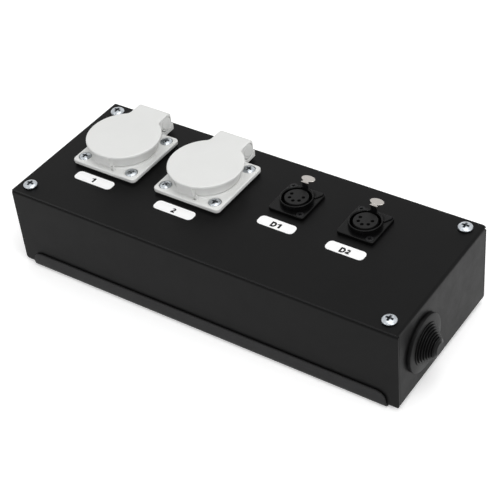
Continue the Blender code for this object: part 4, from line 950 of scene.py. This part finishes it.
def well_solid():
    """The well of a mains socket with its floor, contact openings and earth slots."""
    shoulder_top = FLANGE_BOTTOM - GAP
    shoulder_bottom = -SHEET - GAP
    body = spun([(0, WELL_BOTTOM), (WELL_RADIUS, WELL_BOTTOM), (WELL_RADIUS, WELL_RIM),
                 (WELL_OUTSIDE, WELL_RIM), (WELL_OUTSIDE, shoulder_top), (WELL_SHOULDER, shoulder_top),
                 (WELL_SHOULDER, shoulder_bottom), (WELL_OUTSIDE, shoulder_bottom),
                 (WELL_OUTSIDE, WELL_UNDERSIDE), (HOUSING_RADIUS, WELL_UNDERSIDE),
                 (HOUSING_RADIUS, HOUSING_BOTTOM), (0, HOUSING_BOTTOM)], SIDES_RIM)
    below = WELL_UNDERSIDE - SPARE
    above = WELL_BOTTOM + SPARE
    places = [(-PIN_PITCH / 2, 0), (PIN_PITCH / 2, 0)]
    through = [rod(PIN_HOLE, below, above, SIDES_SMALL, place) for place in places]
    bays = [rod(SLEEVE_BAY, HOUSING_BOTTOM - SPARE, WELL_UNDERSIDE + GAP, SIDES_SMALL, place)
            for place in places]
    slots = [block((-EARTH_HALF, near, below), (EARTH_HALF, near + EARTH_OUTER - EARTH_INNER, above))
             for near in (EARTH_INNER, -EARTH_OUTER)]
    return cut(body, gathered(*bays), gathered(*through, *slots))


def lid_plate(sizes):
    """The lid's round plate and the top of its tongue, with the rim rounded."""
    half = TONGUE_WIDTH / 2
    x = half + TONGUE_FILLET
    y = math.sqrt((LID_RADIUS + TONGUE_FILLET) ** 2 - x ** 2)
    degrees = math.degrees(math.atan2(y, x))
    plate = traced(on_circle(LID_RADIUS, 180 - degrees),
                   [((0.0, 0.0), 180 + 2 * degrees), ((x, y), -degrees), (half, HINGE_Y), (-half, HINGE_Y),
                    (-half, y), ((-x, y), -degrees)], LID_PLATE)
    shifted(plate, (0, 0, LID_TOP - LID_PLATE))
    return eased(plate, sizes.lid_round, lambda edge: lies_at(LID_TOP)(edge)
                 and min(vert.co.y for vert in edge.verts) < HINGE_Y - MERGE, SEGMENTS_RIM)


def lid_tongue(sizes):
    """The hooded block behind the lid, whose barrel turns about the hinge pin."""
    low = LID_TOP - TONGUE_DEPTH
    top = LID_TOP - TUCK
    inner = LID_TOP - LID_PLATE / 2
    inside = SKIRT_RADIUS - SKIRT_WALL / 2
    back = HINGE_Y + HOOD_BACK
    front = HINGE_Y - HOOD_FRONT
    width = TONGUE_WIDTH - 2 * TUCK
    rise = math.degrees(math.asin((low - HINGE_Z) / BARREL_RADIUS))
    drop = math.degrees(math.acos(HOOD_BACK / BARREL_RADIUS))
    tongue = traced((inside, low),
                    [on_circle(BARREL_RADIUS, 180 - rise, HINGE), (HINGE, 180 + rise - drop),
                     (back, top - HOOD_CORNER), ((back - HOOD_CORNER, top - HOOD_CORNER), 90.0),
                     (front, top), (front, inner), (inside, inner)], width)
    return eased(laid_across(tongue, width), sizes.lid_round,
                 lambda edge: follows_hood(edge, back, top), SEGMENTS_RIM)


def lid_lug(sizes):
    """The lug that lifts the lid, with a sloped front and rounded corners."""
    half = sizes.lug_width / 2
    root = LID_TOP - LID_PLATE / 2
    lug = block((-half, -LUG_FRONT, LUG_BOTTOM), (half, SKIRT_WALL - SKIRT_RADIUS, root))
    front = [vert for vert in lug.verts if vert.co.y < MERGE - LUG_FRONT]
    foot = [vert for vert in front if vert.co.z < root - MERGE]
    bmesh.ops.translate(lug, verts=foot, vec=(0, LUG_SLOPE, 0))
    return eased(lug, LUG_ROUND, lambda edge: all(vert in front for vert in edge.verts)
                 and abs(edge.verts[0].co.x - edge.verts[1].co.x) < MERGE, 3)


def lid_solid(sizes):
    """Lid: rim-rounded plate, skirt, hooded hinge tongue and the lug in front."""
    foot = COLLAR_TOP + GAP
    root = LID_TOP - LID_PLATE / 2
    skirt = spun([(SKIRT_RADIUS, root), (SKIRT_RADIUS - SKIRT_WALL, root), (SKIRT_FOOT - SKIRT_WALL, foot),
                  (SKIRT_FOOT, foot)], SIDES_RIM, ring=True)
    body = joined(lid_plate(sizes), skirt, lid_tongue(sizes), lid_lug(sizes))
    half = TONGUE_WIDTH / 2
    knuckle_side = KNUCKLE_WIDTH / 2 + GAP
    spring_side = KNUCKLE_WIDTH / 2 + SPRING_BAY + GAP
    start = on_circle(LID_TOP - HINGE_Z - BARREL_SKIN, BAY_FROM, HINGE)
    deep = HINGE_Z - 2 * BARREL_RADIUS
    near = HINGE_Y - BAY_REACH
    far = HINGE_Y + BAY_REACH
    bay = traced(start, [(HINGE, BAY_SWEEP), (near, HINGE_Z), (near, deep), (far, deep), (far, start[1])],
                 spring_side + knuckle_side)
    bay = shifted(on_side(bay), (-spring_side, 0, 0))
    return cut(body, bay, pin_bore(half - GAP + TUCK), *drum_cutters(half))


def follows_hood(edge, hood_y, top):
    """Whether an edge runs along the hood's side outline, up its back and over its top."""
    first, second = edge.verts
    if abs(first.co.x - second.co.x) > MERGE:
        return False
    back = all(vert.co.y > hood_y - HOOD_CORNER - MERGE for vert in edge.verts)
    over = all(abs(vert.co.z - top) < MERGE for vert in edge.verts)
    return (back and min(vert.co.z for vert in edge.verts) > HINGE_Z - BARREL_RADIUS / 2) or over


def drum_cutters(half):
    """The shallow drum groove and the two small holes in both side faces of the tongue."""
    grooves = []
    holes = []
    outer = DRUM_RADIUS + DRUM_GROOVE
    for side in (-1, 1):
        face = side * (half - TUCK)
        low, high = sorted((face - side * DRUM_DEPTH, face + side * SHEET))
        groove = spun([(DRUM_RADIUS, low), (outer, low), (outer, high), (DRUM_RADIUS, high)], SIDES_ROUND,
                      ring=True)
        grooves.append(shifted(on_side(groove), (0, *DRUM_CENTRE)))
        holes.append(on_side(rod(DRUM_HOLE, low - TUCK, high, SIDES_TINY, DRUM_HOLES[0])))
        slot = slab(*DRUM_SLOT, DRUM_SLOT[1] * DRUM_SLOT_CORNER, low - TUCK, high, 5)
        holes.append(on_side(shifted(slot, (*DRUM_HOLES[1], 0))))
    return gathered(*grooves), gathered(*holes)


class OUTLETBOX_OT_socket_lids(bpy.types.Operator):
    """The sprung lids of the mains sockets."""

    bl_idname = "outlet_box.socket_lids"
    bl_label = "Socket lids"

    def execute(self, context):
        sizes = context.scene.outlet_box_sizes
        master = lid_solid(sizes)
        for number in NUMBERS:
            added(f"lid_piece_{number}", copy_of(master, socket_centre(number)), ["white moulding"],
                  f"lid_{number}", [f"socket_lid_{number}"],
                  sizes.moulded_edge * EDGE_SHARES["lid"])
        master.free()
        return {"FINISHED"}


class OUTLETBOX_OT_flange_screws(bpy.types.Operator):
    """The four screws in each socket's flange."""

    bl_idname = "outlet_box.flange_screws"
    bl_label = "Flange screws"

    def execute(self, context):
        master = pan_head(*FLANGE_HEAD, FLANGE_SHANK, FLANGE_SCREW_LENGTH, SIDES_SMALL)
        places = [f"{corner}_{number}" for number in NUMBERS for corner in CORNERS]
        for index, place in enumerate(places):
            plated_screw(master, f"flange_screw_piece_{place}", f"flange_screw_{place}", FLANGE_HEAD[1],
                         SCREW_TURN * index)
        master.free()
        return {"FINISHED"}


def contact_rods(low, high):
    """Rods at the signal contacts, with the gap between the first and the last one at the back."""
    sweep = 360 - 2 * CONTACT_FIRST
    angles = [90 - CONTACT_FIRST - sweep * index / (CONTACT_COUNT - 1) for index in range(CONTACT_COUNT)]
    return [rod(CONTACT_HOLE, low, high, SIDES_TINY, on_circle(CONTACT_CIRCLE, angle)) for angle in angles]


def connector_screw_places():
    """The screws of a signal connector, back left and front right, with the height each is flush with."""
    return {"back": (-CONNECTOR_SCREW_X, CONNECTOR_SCREW_Y, PLATE_TOP + PLATEAU_RISE),
            "front": (CONNECTOR_SCREW_X, -CONNECTOR_SCREW_Y, PLATE_TOP)}


def shell_solid():
    """Flange, ring and barrel of a signal connector, with the slot of its push tab."""
    edge = PLATEAU_RISE
    root = GAP + edge
    plateau_top = PLATE_TOP + edge
    side = CONNECTOR_WIDTH / 2 - edge
    back = CONNECTOR_DEPTH / 2 - edge
    plate = slab(CONNECTOR_WIDTH, CONNECTOR_DEPTH, CONNECTOR_CORNER, GAP, PLATE_TOP)
    eased(plate, edge / 2, lies_at(PLATE_TOP))
    plateau = traced((-side, PLATEAU_FRONT), [(PLATEAU_CUT, PLATEAU_FRONT), (side, PLATEAU_SIDE),
                                              (side, back), (-side, back)], plateau_top - root)
    shifted(plateau, (0, 0, root))
    eased(plateau, edge / 2, lies_at(plateau_top), 3)
    shoulder = edge * SHOULDER_SHARE
    barrel = spun([(0, -SHELL_DEPTH), (SHELL_RADIUS, -SHELL_DEPTH), (SHELL_RADIUS, root),
                   (RING_RADIUS, root), (RING_RADIUS, RING_HEIGHT - edge / 2),
                   (RING_RADIUS - shoulder, RING_HEIGHT - shoulder), (RING_RADIUS - edge / 2, RING_HEIGHT),
                   (0, RING_HEIGHT)], SIDES_RIM)
    above = RING_HEIGHT + SPARE
    lip = CAVITY_RADIUS + CAVITY_CHAMFER
    cavity = spun([(0, CAVITY_BOTTOM), (CAVITY_RADIUS, CAVITY_BOTTOM),
                   (CAVITY_RADIUS, RING_HEIGHT - CAVITY_CHAMFER), (lip, RING_HEIGHT), (lip, above),
                   (0, above)], SIDES_RIM)
    half = SLOT_WIDTH / 2
    front = CAVITY_RADIUS - CAVITY_CHAMFER
    open_slot = block((-half, front, PLATE_TOP - edge), (half, RING_RADIUS + 2 * edge, above))
    deep_slot = block((-half, front, -SLOT_DEPTH), (half, SLOT_BACK, above))
    wide = CONNECTOR_HEAD + SCREW_CLEARANCE / 2
    narrow = CONNECTOR_SHANK + SCREW_CLEARANCE
    clear = plateau_top + SPARE
    sinks = []
    shanks = []
    for x, y, top in connector_screw_places().values():
        rim = top - GAP
        point = rim - wide + narrow
        sink = spun([(0, point), (narrow, point), (wide, rim), (wide, clear), (0, clear)], SIDES_SMALL)
        sinks.append(shifted(sink, (x, y, 0)))
        shanks.append(rod(narrow, -SPARE, PLATE_TOP, SIDES_TINY, (x, y)))
    pins = contact_rods(-SHELL_DEPTH - SPARE, CAVITY_BOTTOM + SPARE)
    body = joined(plate, plateau, barrel)
    return cut(body, cavity, open_slot, deep_slot, gathered(*pins, *shanks), gathered(*sinks))


def core_solid():
    """Insert of a signal connector with its contact holes."""
    bottom = CAVITY_BOTTOM + GAP
    edge = CAVITY_CHAMFER
    bevel = edge * SOFT_SHARE
    body = spun([(0, bottom), (CORE_RADIUS, bottom), (CORE_RADIUS, CORE_HEIGHT - edge),
                 (CORE_RADIUS - bevel, CORE_HEIGHT - bevel), (CORE_RADIUS - edge, CORE_HEIGHT),
                 (0, CORE_HEIGHT)], SIDES_RIM)
    return cut(body, gathered(*contact_rods(bottom - SPARE, CORE_HEIGHT + SPARE)))


class OUTLETBOX_OT_connectors(bpy.types.Operator):
    """The shells and inserts of the signal connectors."""

    bl_idname = "outlet_box.connectors"
    bl_label = "Signal connectors"

    def execute(self, context):
        edge = context.scene.outlet_box_sizes.moulded_edge
        shell = shell_solid()
        core = core_solid()
        for number in NUMBERS:
            centre = connector_centre(number)
            added(f"shell_piece_{number}", copy_of(shell, centre), ["black nylon"], "outlet_box",
                  [f"connector_shell_{number}"], edge * EDGE_SHARES["shell"])
            added(f"core_piece_{number}", copy_of(core, centre), ["black insert"], "outlet_box",
                  [f"connector_insert_{number}"], edge * EDGE_SHARES["core"])
        shell.free()
        core.free()
        return {"FINISHED"}


def tab_solid(sizes):
    """Push tab: oval thumb plate, neck with two small prongs, leg in the slot and latch tooth; leg and tooth
    are black as painted shade.
    """
    thumb = rod(1.0, TAB_TOP - TAB_SHEET, TAB_TOP, SIDES_ROUND)
    bmesh.ops.scale(thumb, verts=thumb.verts, vec=(sizes.tab_half_width, TAB_HALF_DEPTH, 1.0))
    shifted(thumb, (0, TAB_CENTRE, 0))
    eased(thumb, TAB_SHEET * SOFT_SHARE, lies_at(TAB_TOP))
    half = LEG_WIDTH / 2
    underside = TAB_TOP - TAB_SHEET
    top = TAB_TOP - 2 * TAB_SKIN
    back = LEG_FRONT + TAB_SHEET
    front = LEG_FRONT - PRONG_REACH
    wide = half + PRONG_WIDTH
    latch = LATCH_DEPTH - LEG_DROP
    parts = [block((-half, LEG_FRONT, underside + TAB_SKIN), (half, TAB_CENTRE, TAB_TOP - TAB_SKIN)),
             block((-half, LEG_FRONT + TAB_SKIN, -LEG_DROP), (half, back, top)),
             block((-LATCH_WIDTH / 2, LEG_FRONT - LATCH_DEPTH / 2, latch),
                   (LATCH_WIDTH / 2, LEG_FRONT + TAB_SHEET / 2, latch + LATCH_DEPTH)),
             block((-wide, front, underside), (wide, back, top))]
    for left in (-wide, half):
        parts.append(block((left, front, underside - PRONG_DROP),
                           (left + PRONG_WIDTH, back, underside + TAB_SHEET / 2)))
    tab = joined(thumb, *parts)
    # Faces below the prongs, the leg and the latch tooth, take the black finish: painted shade on the metal
    # leg
    for face in tab.faces:
        if face.calc_center_median().z < underside - PRONG_DROP - MERGE:
            face.material_index = 1
    return tab


class OUTLETBOX_OT_push_tabs(bpy.types.Operator):
    """The bright push tabs that release a signal plug."""

    bl_idname = "outlet_box.push_tabs"
    bl_label = "Push tabs"

    def execute(self, context):
        sizes = context.scene.outlet_box_sizes
        master = tab_solid(sizes)
        for number in NUMBERS:
            # The second finish paints shade on the tab's leg
            added(f"tab_piece_{number}", copy_of(master, connector_centre(number)),
                  ["nickel plate", "black screw"], f"tab_{number}", [f"push_tab_{number}"],
                  sizes.moulded_edge * EDGE_SHARES["tab"])
        master.free()
        return {"FINISHED"}


class OUTLETBOX_OT_connector_screws(bpy.types.Operator):
    """The dark countersunk screws of the signal connectors."""

    bl_idname = "outlet_box.connector_screws"
    bl_label = "Connector screws"

    def execute(self, context):
        slope = CONNECTOR_HEAD - CONNECTOR_SHANK
        screw = spun([(0, 0), (CONNECTOR_HEAD - CONNECTOR_BEVEL, 0), (CONNECTOR_HEAD, -CONNECTOR_BEVEL),
                      (CONNECTOR_SHANK, -slope), (CONNECTOR_SHANK, -CONNECTOR_SCREW_LENGTH),
                      (0, -CONNECTOR_SCREW_LENGTH)], SIDES_SMALL)
        master = cut(screw, cross_cutter(CONNECTOR_HEAD, 0.0, slope))
        for number in NUMBERS:
            for name, place in connector_screw_places().items():
                added(f"connector_screw_piece_{name}_{number}",
                      copy_of(master, connector_centre(number) + Vector(place)), ["black screw"],
                      "outlet_box", [f"connector_screw_{name}_{number}"])
        master.free()
        return {"FINISHED"}


def grommet_solid():
    """Grommet about Z: inner collar, neck, flange, narrowing ridges with grooves, and a blunt tip."""
    soft = GROMMET_ROUND
    bevel = soft * SOFT_SHARE
    flange = GROMMET_FLANGE_RADIUS
    profile = [(GROMMET_INNER_RADIUS, GROMMET_BACK), (GROMMET_INNER_RADIUS, GROMMET_INNER_FACE),
               (GROMMET_NECK, GROMMET_INNER_FACE), (GROMMET_NECK, GAP), (flange, GAP),
               (flange, GROMMET_FLANGE - 2 * soft), (flange - soft / 2, GROMMET_FLANGE - 2 * bevel),
               (flange - 2 * soft, GROMMET_FLANGE)]
    height = GROMMET_FLANGE
    for radius in GROMMET_RIDGES:
        low = height + GROMMET_GROOVE / 2
        height += GROMMET_RIDGE
        high = height - GROMMET_GROOVE / 2
        root = radius - GROMMET_NOTCH
        profile += [(root, low), (radius - bevel, low + bevel), (radius, low + soft), (radius, high - soft),
                    (radius - bevel, high - bevel), (root, high)]
    tip = GROMMET_TIP_RADIUS
    top = height + GROMMET_TIP
    profile += [(GROMMET_LAST, height), (tip, top - soft), (tip - soft, top), (0, top)]
    inside = height - GROMMET_WALL
    mouth = GROMMET_RIDGES[0] - GROMMET_WALL - GROMMET_NOTCH
    hollow = [(0, inside), (tip - GROMMET_WALL, inside), (mouth, GROMMET_FLANGE - GROMMET_WALL),
              (mouth, GROMMET_BACK)]
    return spun(hollow + profile, SIDES_RIM)


class OUTLETBOX_OT_grommet(bpy.types.Operator):
    """The ridged rubber grommet in the end wall."""

    bl_idname = "outlet_box.grommet"
    bl_label = "Cable grommet"

    def execute(self, context):
        centre = middle("cable_grommet")
        solid = shifted(turned(grommet_solid(), 90, "Y"), (END, centre.y, centre.z))
        added("grommet_piece", solid, ["grommet rubber"], "outlet_box", ["cable_grommet"])
        return {"FINISHED"}


def figure_one(height, stroke):
    """The figure 1: an upright stroke with a short flag."""
    stem = block((-stroke / 2, 0, 0), (stroke / 2, height, INK_THICKNESS))
    first, *others = [(stroke * x, height * y) for x, y in FIGURE_FLAG]
    return joined(stem, traced(first, others, INK_THICKNESS))


def figure_two(height, stroke):
    """The figure 2: a bow, a slanting stroke and a foot."""
    wide = height * FIGURE_SHARE / 2
    thin = stroke * FIGURE_THIN
    centre = (0.0, height - wide)
    first, last = BOW_ANGLES
    start = on_circle(wide, first, centre)
    inner = on_circle(wide - thin, last, centre)
    outer = on_circle(wide, last, centre)
    bow = traced(start, [(centre, last - first), inner, (centre, first - last)], INK_THICKNESS)
    slant = traced(outer, [(thin - wide, thin / 2), (-wide, thin / 2), (-wide, thin), inner], INK_THICKNESS)
    return joined(bow, slant, block((-wide, 0, 0), (wide, thin, INK_THICKNESS)))


def written(text, height):
    """Characters of the plain built-in face, made bolder, as a thin solid."""
    curve = bpy.data.curves.new("characters", "FONT")
    curve.body = text
    curve.size = height / CAPITAL_SHARE
    curve.offset = height * CHARACTER_WEIGHT
    curve.extrude = INK_THICKNESS / 2
    holder = bpy.data.objects.new("characters", curve)
    bpy.context.scene.collection.objects.link(holder)
    mesh = bpy.data.meshes.new_from_object(holder.evaluated_get(bpy.context.evaluated_depsgraph_get()))
    solid = bmesh.new()
    solid.from_mesh(mesh)
    bpy.data.meshes.remove(mesh)
    bpy.data.objects.remove(holder)
    bpy.data.curves.remove(curve)
    bmesh.ops.remove_doubles(solid, verts=solid.verts, dist=MERGE)
    bmesh.ops.recalc_face_normals(solid, faces=solid.faces)
    bmesh.ops.scale(solid, verts=solid.verts, vec=(CHARACTER_SQUEEZE, 1.0, 1.0))
    return shifted(solid, (0, 0, -min(vert.co.z for vert in solid.verts)))


def lettering(text, height):
    """A line of characters, centred on its own middle."""
    space = CHARACTER_STROKE * CHARACTER_SPACE
    pieces = []
    cursor = 0.0
    for character in text:
        drawn = {"1": figure_one, "2": figure_two}.get(character)
        piece = drawn(height, CHARACTER_STROKE) if drawn else written(character, height)
        across = [vert.co.x for vert in piece.verts]
        shifted(piece, (cursor - min(across), -height / 2, 0))
        cursor += max(across) - min(across) + space
        pieces.append(piece)
    return shifted(gathered(*pieces), ((space - cursor) / 2, 0, 0))


class OUTLETBOX_OT_labels(bpy.types.Operator):
    """The white labels and their plain designators."""

    bl_idname = "outlet_box.labels"
    bl_label = "Labels"

    def execute(self, context):
        height = context.scene.outlet_box_sizes.character_height
        for node, (text, (right, back)) in LABEL_TEXTS.items():
            low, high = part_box(node)
            centre = middle(node)
            film = slab(high.x - low.x, high.y - low.y, LABEL_CORNER, low.z, high.z, SEGMENTS_FINE)
            shifted(film, (centre.x, centre.y, 0))
            added(f"{node}_film", film, ["label film"], "outlet_box", [node])
            ink = shifted(lettering(text, height), (centre.x + right, centre.y + back, high.z))
            added(f"{node}_ink", ink, ["label ink"], "outlet_box", [])
        return {"FINISHED"}


class OUTLETBOX_OT_carried_nodes(bpy.types.Operator):
    """Inner pieces: the terminal block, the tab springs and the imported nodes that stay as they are."""

    bl_idname = "outlet_box.carried_nodes"
    bl_label = "Inner pieces"

    def execute(self, context):
        dressed_copy("terminal_block", "terminal_block_piece", "block plastic",
                     context.scene.outlet_box_sizes.moulded_edge)
        carried = {"zinc plate": ("rivet_nut", "tray_screw", "earth_stud"), "black seal": ("socket_gasket",),
                   "contact brass": ("socket_contact", "contact_carrier"),
                   "spring steel": ("socket_earth_clip", "lid_hinge_pin", "lid_spring")}
        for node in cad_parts:
            for look, starts in carried.items():
                if node.startswith(starts):
                    dressed_node(node, look)
        for number in NUMBERS:
            node = f"tab_spring_{number}"
            piece = dressed_copy(node, f"tab_spring_piece_{number}", "spring steel", 0.0)
            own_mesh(piece)
        return {"FINISHED"}


def soft_light(name, place, target, size, power):
    """An area light that is pointed at a target."""
    data = bpy.data.lights.new(name, "AREA")
    data.shape = "RECTANGLE"
    data.size, data.size_y = size
    data.energy = power
    lamp = bpy.data.objects.new(name, data)
    bpy.context.scene.collection.objects.link(lamp)
    lamp.location = place
    lamp.rotation_euler = (Vector(target) - Vector(place)).to_track_quat("-Z", "Y").to_euler()


def seen_directly(tree):
    """A node that gives one for rays of the camera, reflections and clear pieces, or else nothing."""
    path = placed(tree, "LightPath")
    first, second = [placed(tree, "Math", ("operation", "MAXIMUM")) for _ in range(2)]
    wired(tree, (path, "Is Camera Ray", first, 0), (path, "Is Glossy Ray", first, 1),
          (first, "Value", second, 0), (path, "Is Transmission Ray", second, 1))
    return second


def floor_finish():
    """A pale floor that reads as white behind the object and still takes its shadow."""
    made = bpy.data.materials.new("pale floor")
    made.use_nodes = True
    tree = made.node_tree
    shader = filled(tree.nodes["Principled BSDF"],
                    {"Base Color": (*FLOOR_COLOUR, 1.0), "Roughness": FLOOR_ROUGHNESS,
                     "Specular IOR Level": 0.0, "Emission Color": WHITE})
    lift = placed(tree, "Math", ("operation", "MULTIPLY"))
    lift.inputs[1].default_value = FLOOR_LIFT
    wired(tree, (seen_directly(tree), "Value", lift, 0), (lift, "Value", shader, "Emission Strength"))
    return made


def studio_world():
    """White wherever it is seen or mirrored; as a light it is dim at the horizon and bright overhead."""
    world = bpy.data.worlds.new("studio")
    bpy.context.scene.world = world
    world.use_nodes = True
    tree = world.node_tree
    tree.nodes.clear()
    where = placed(tree, "TexCoord")
    split = placed(tree, "SeparateXYZ")
    ramp = placed(tree, "ValToRGB")
    for stop, (height, level) in zip(ramp.color_ramp.elements, SKY_LEVELS):
        stop.position = height
        stop.color = (level, level, level, 1.0)
    sky = placed(tree, "Background")
    plain = placed(tree, "Background", Color=WHITE)
    choice = placed(tree, "MixShader")
    wired(tree, (where, "Generated", split, "Vector"), (split, "Z", ramp, "Fac"),
          (ramp, "Color", sky, "Color"), (seen_directly(tree), "Value", choice, "Fac"),
          (sky, "Background", choice, 1), (plain, "Background", choice, 2),
          (choice, "Shader", placed(tree, "OutputWorld"), "Surface"))


def photo_camera(stage):
    """The camera at the view of the photograph."""
    data = bpy.data.cameras.new("camera")
    data.lens = stage.lens
    data.sensor_width = SENSOR_WIDTH
    data.clip_start = CLIP_START
    flat = math.cos(stage.elevation)
    ahead = Vector((-math.sin(stage.azimuth) * flat, math.cos(stage.azimuth) * flat,
                    -math.sin(stage.elevation)))
    level = ahead.cross(Vector((0, 0, 1))).normalized()
    upright = level.cross(ahead)
    right = level * math.cos(stage.roll) - upright * math.sin(stage.roll)
    up = upright * math.cos(stage.roll) + level * math.sin(stage.roll)
    camera = bpy.data.objects.new("camera", data)
    bpy.context.scene.collection.objects.link(camera)
    axes = Matrix((right, up, -ahead)).transposed().to_4x4()
    camera.matrix_world = Matrix.Translation(CAMERA_PLACE) @ axes
    bpy.context.scene.camera = camera


class OUTLETBOX_OT_stage(bpy.types.Operator):
    """Floor, lights, world and the camera at the view of the photograph."""

    bl_idname = "outlet_box.stage"
    bl_label = "Stage"

    def execute(self, context):
        stage = context.scene.outlet_box_stage
        solid = bmesh.new()
        bmesh.ops.create_grid(solid, x_segments=1, y_segments=1, size=FLOOR_SIZE)
        floor = helper_object(solid)
        floor.name = "floor"
        floor.data.materials.append(floor_finish())
        studio_world()
        soft_light("key", *KEY_LIGHT, stage.key_power)
        soft_light("overhead", *TOP_LIGHT, stage.top_power)
        soft_light("right end", *SIDE_LIGHT, stage.side_power)
        soft_light("edge light", *EDGE_LIGHT, stage.edge_power)
        soft_light("front light", *FRONT_LIGHT, stage.front_power)
        context.scene.view_settings.view_transform = "Standard"
        photo_camera(stage)
        return {"FINISHED"}


class OUTLETBOX_PT_panel(bpy.types.Panel):
    """Lists the pieces in the order in which they are made."""

    bl_idname = "OUTLETBOX_PT_panel"
    bl_label = "Outlet Box"
    bl_space_type = "VIEW_3D"
    bl_region_type = "UI"
    bl_category = "Outlet Box"

    def draw(self, context):
        layout = self.layout
        for group in (context.scene.outlet_box_sizes, context.scene.outlet_box_colours,
                      context.scene.outlet_box_stage):
            column = layout.column()
            for name in group.__annotations__:
                column.prop(group, name)
        for operator in OPERATORS:
            layout.operator(operator.bl_idname)


OPERATORS = (OUTLETBOX_OT_sheet_metal, OUTLETBOX_OT_cover_screws, OUTLETBOX_OT_socket_frames,
             OUTLETBOX_OT_socket_lids, OUTLETBOX_OT_flange_screws, OUTLETBOX_OT_connectors,
             OUTLETBOX_OT_push_tabs, OUTLETBOX_OT_connector_screws, OUTLETBOX_OT_grommet,
             OUTLETBOX_OT_labels, OUTLETBOX_OT_carried_nodes, OUTLETBOX_OT_stage)
CLASSES = (OutletBoxSizes, OutletBoxColours, OutletBoxStage) + OPERATORS + (OUTLETBOX_PT_panel,)


def register():
    """Registers the classes and the settings on the scene."""
    for each in CLASSES:
        bpy.utils.register_class(each)
    bpy.types.Scene.outlet_box_sizes = PointerProperty(type=OutletBoxSizes)
    bpy.types.Scene.outlet_box_colours = PointerProperty(type=OutletBoxColours)
    bpy.types.Scene.outlet_box_stage = PointerProperty(type=OutletBoxStage)


def unregister():
    """Takes the settings and the classes away again."""
    del bpy.types.Scene.outlet_box_stage
    del bpy.types.Scene.outlet_box_colours
    del bpy.types.Scene.outlet_box_sizes
    for each in reversed(CLASSES):
        bpy.utils.unregister_class(each)


def main():
    """Registers the classes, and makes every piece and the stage."""
    register()
    for operator in OPERATORS:
        group, name = operator.bl_idname.split(".")
        getattr(getattr(bpy.ops, group), name)()


if __name__ == "__main__":
    main()
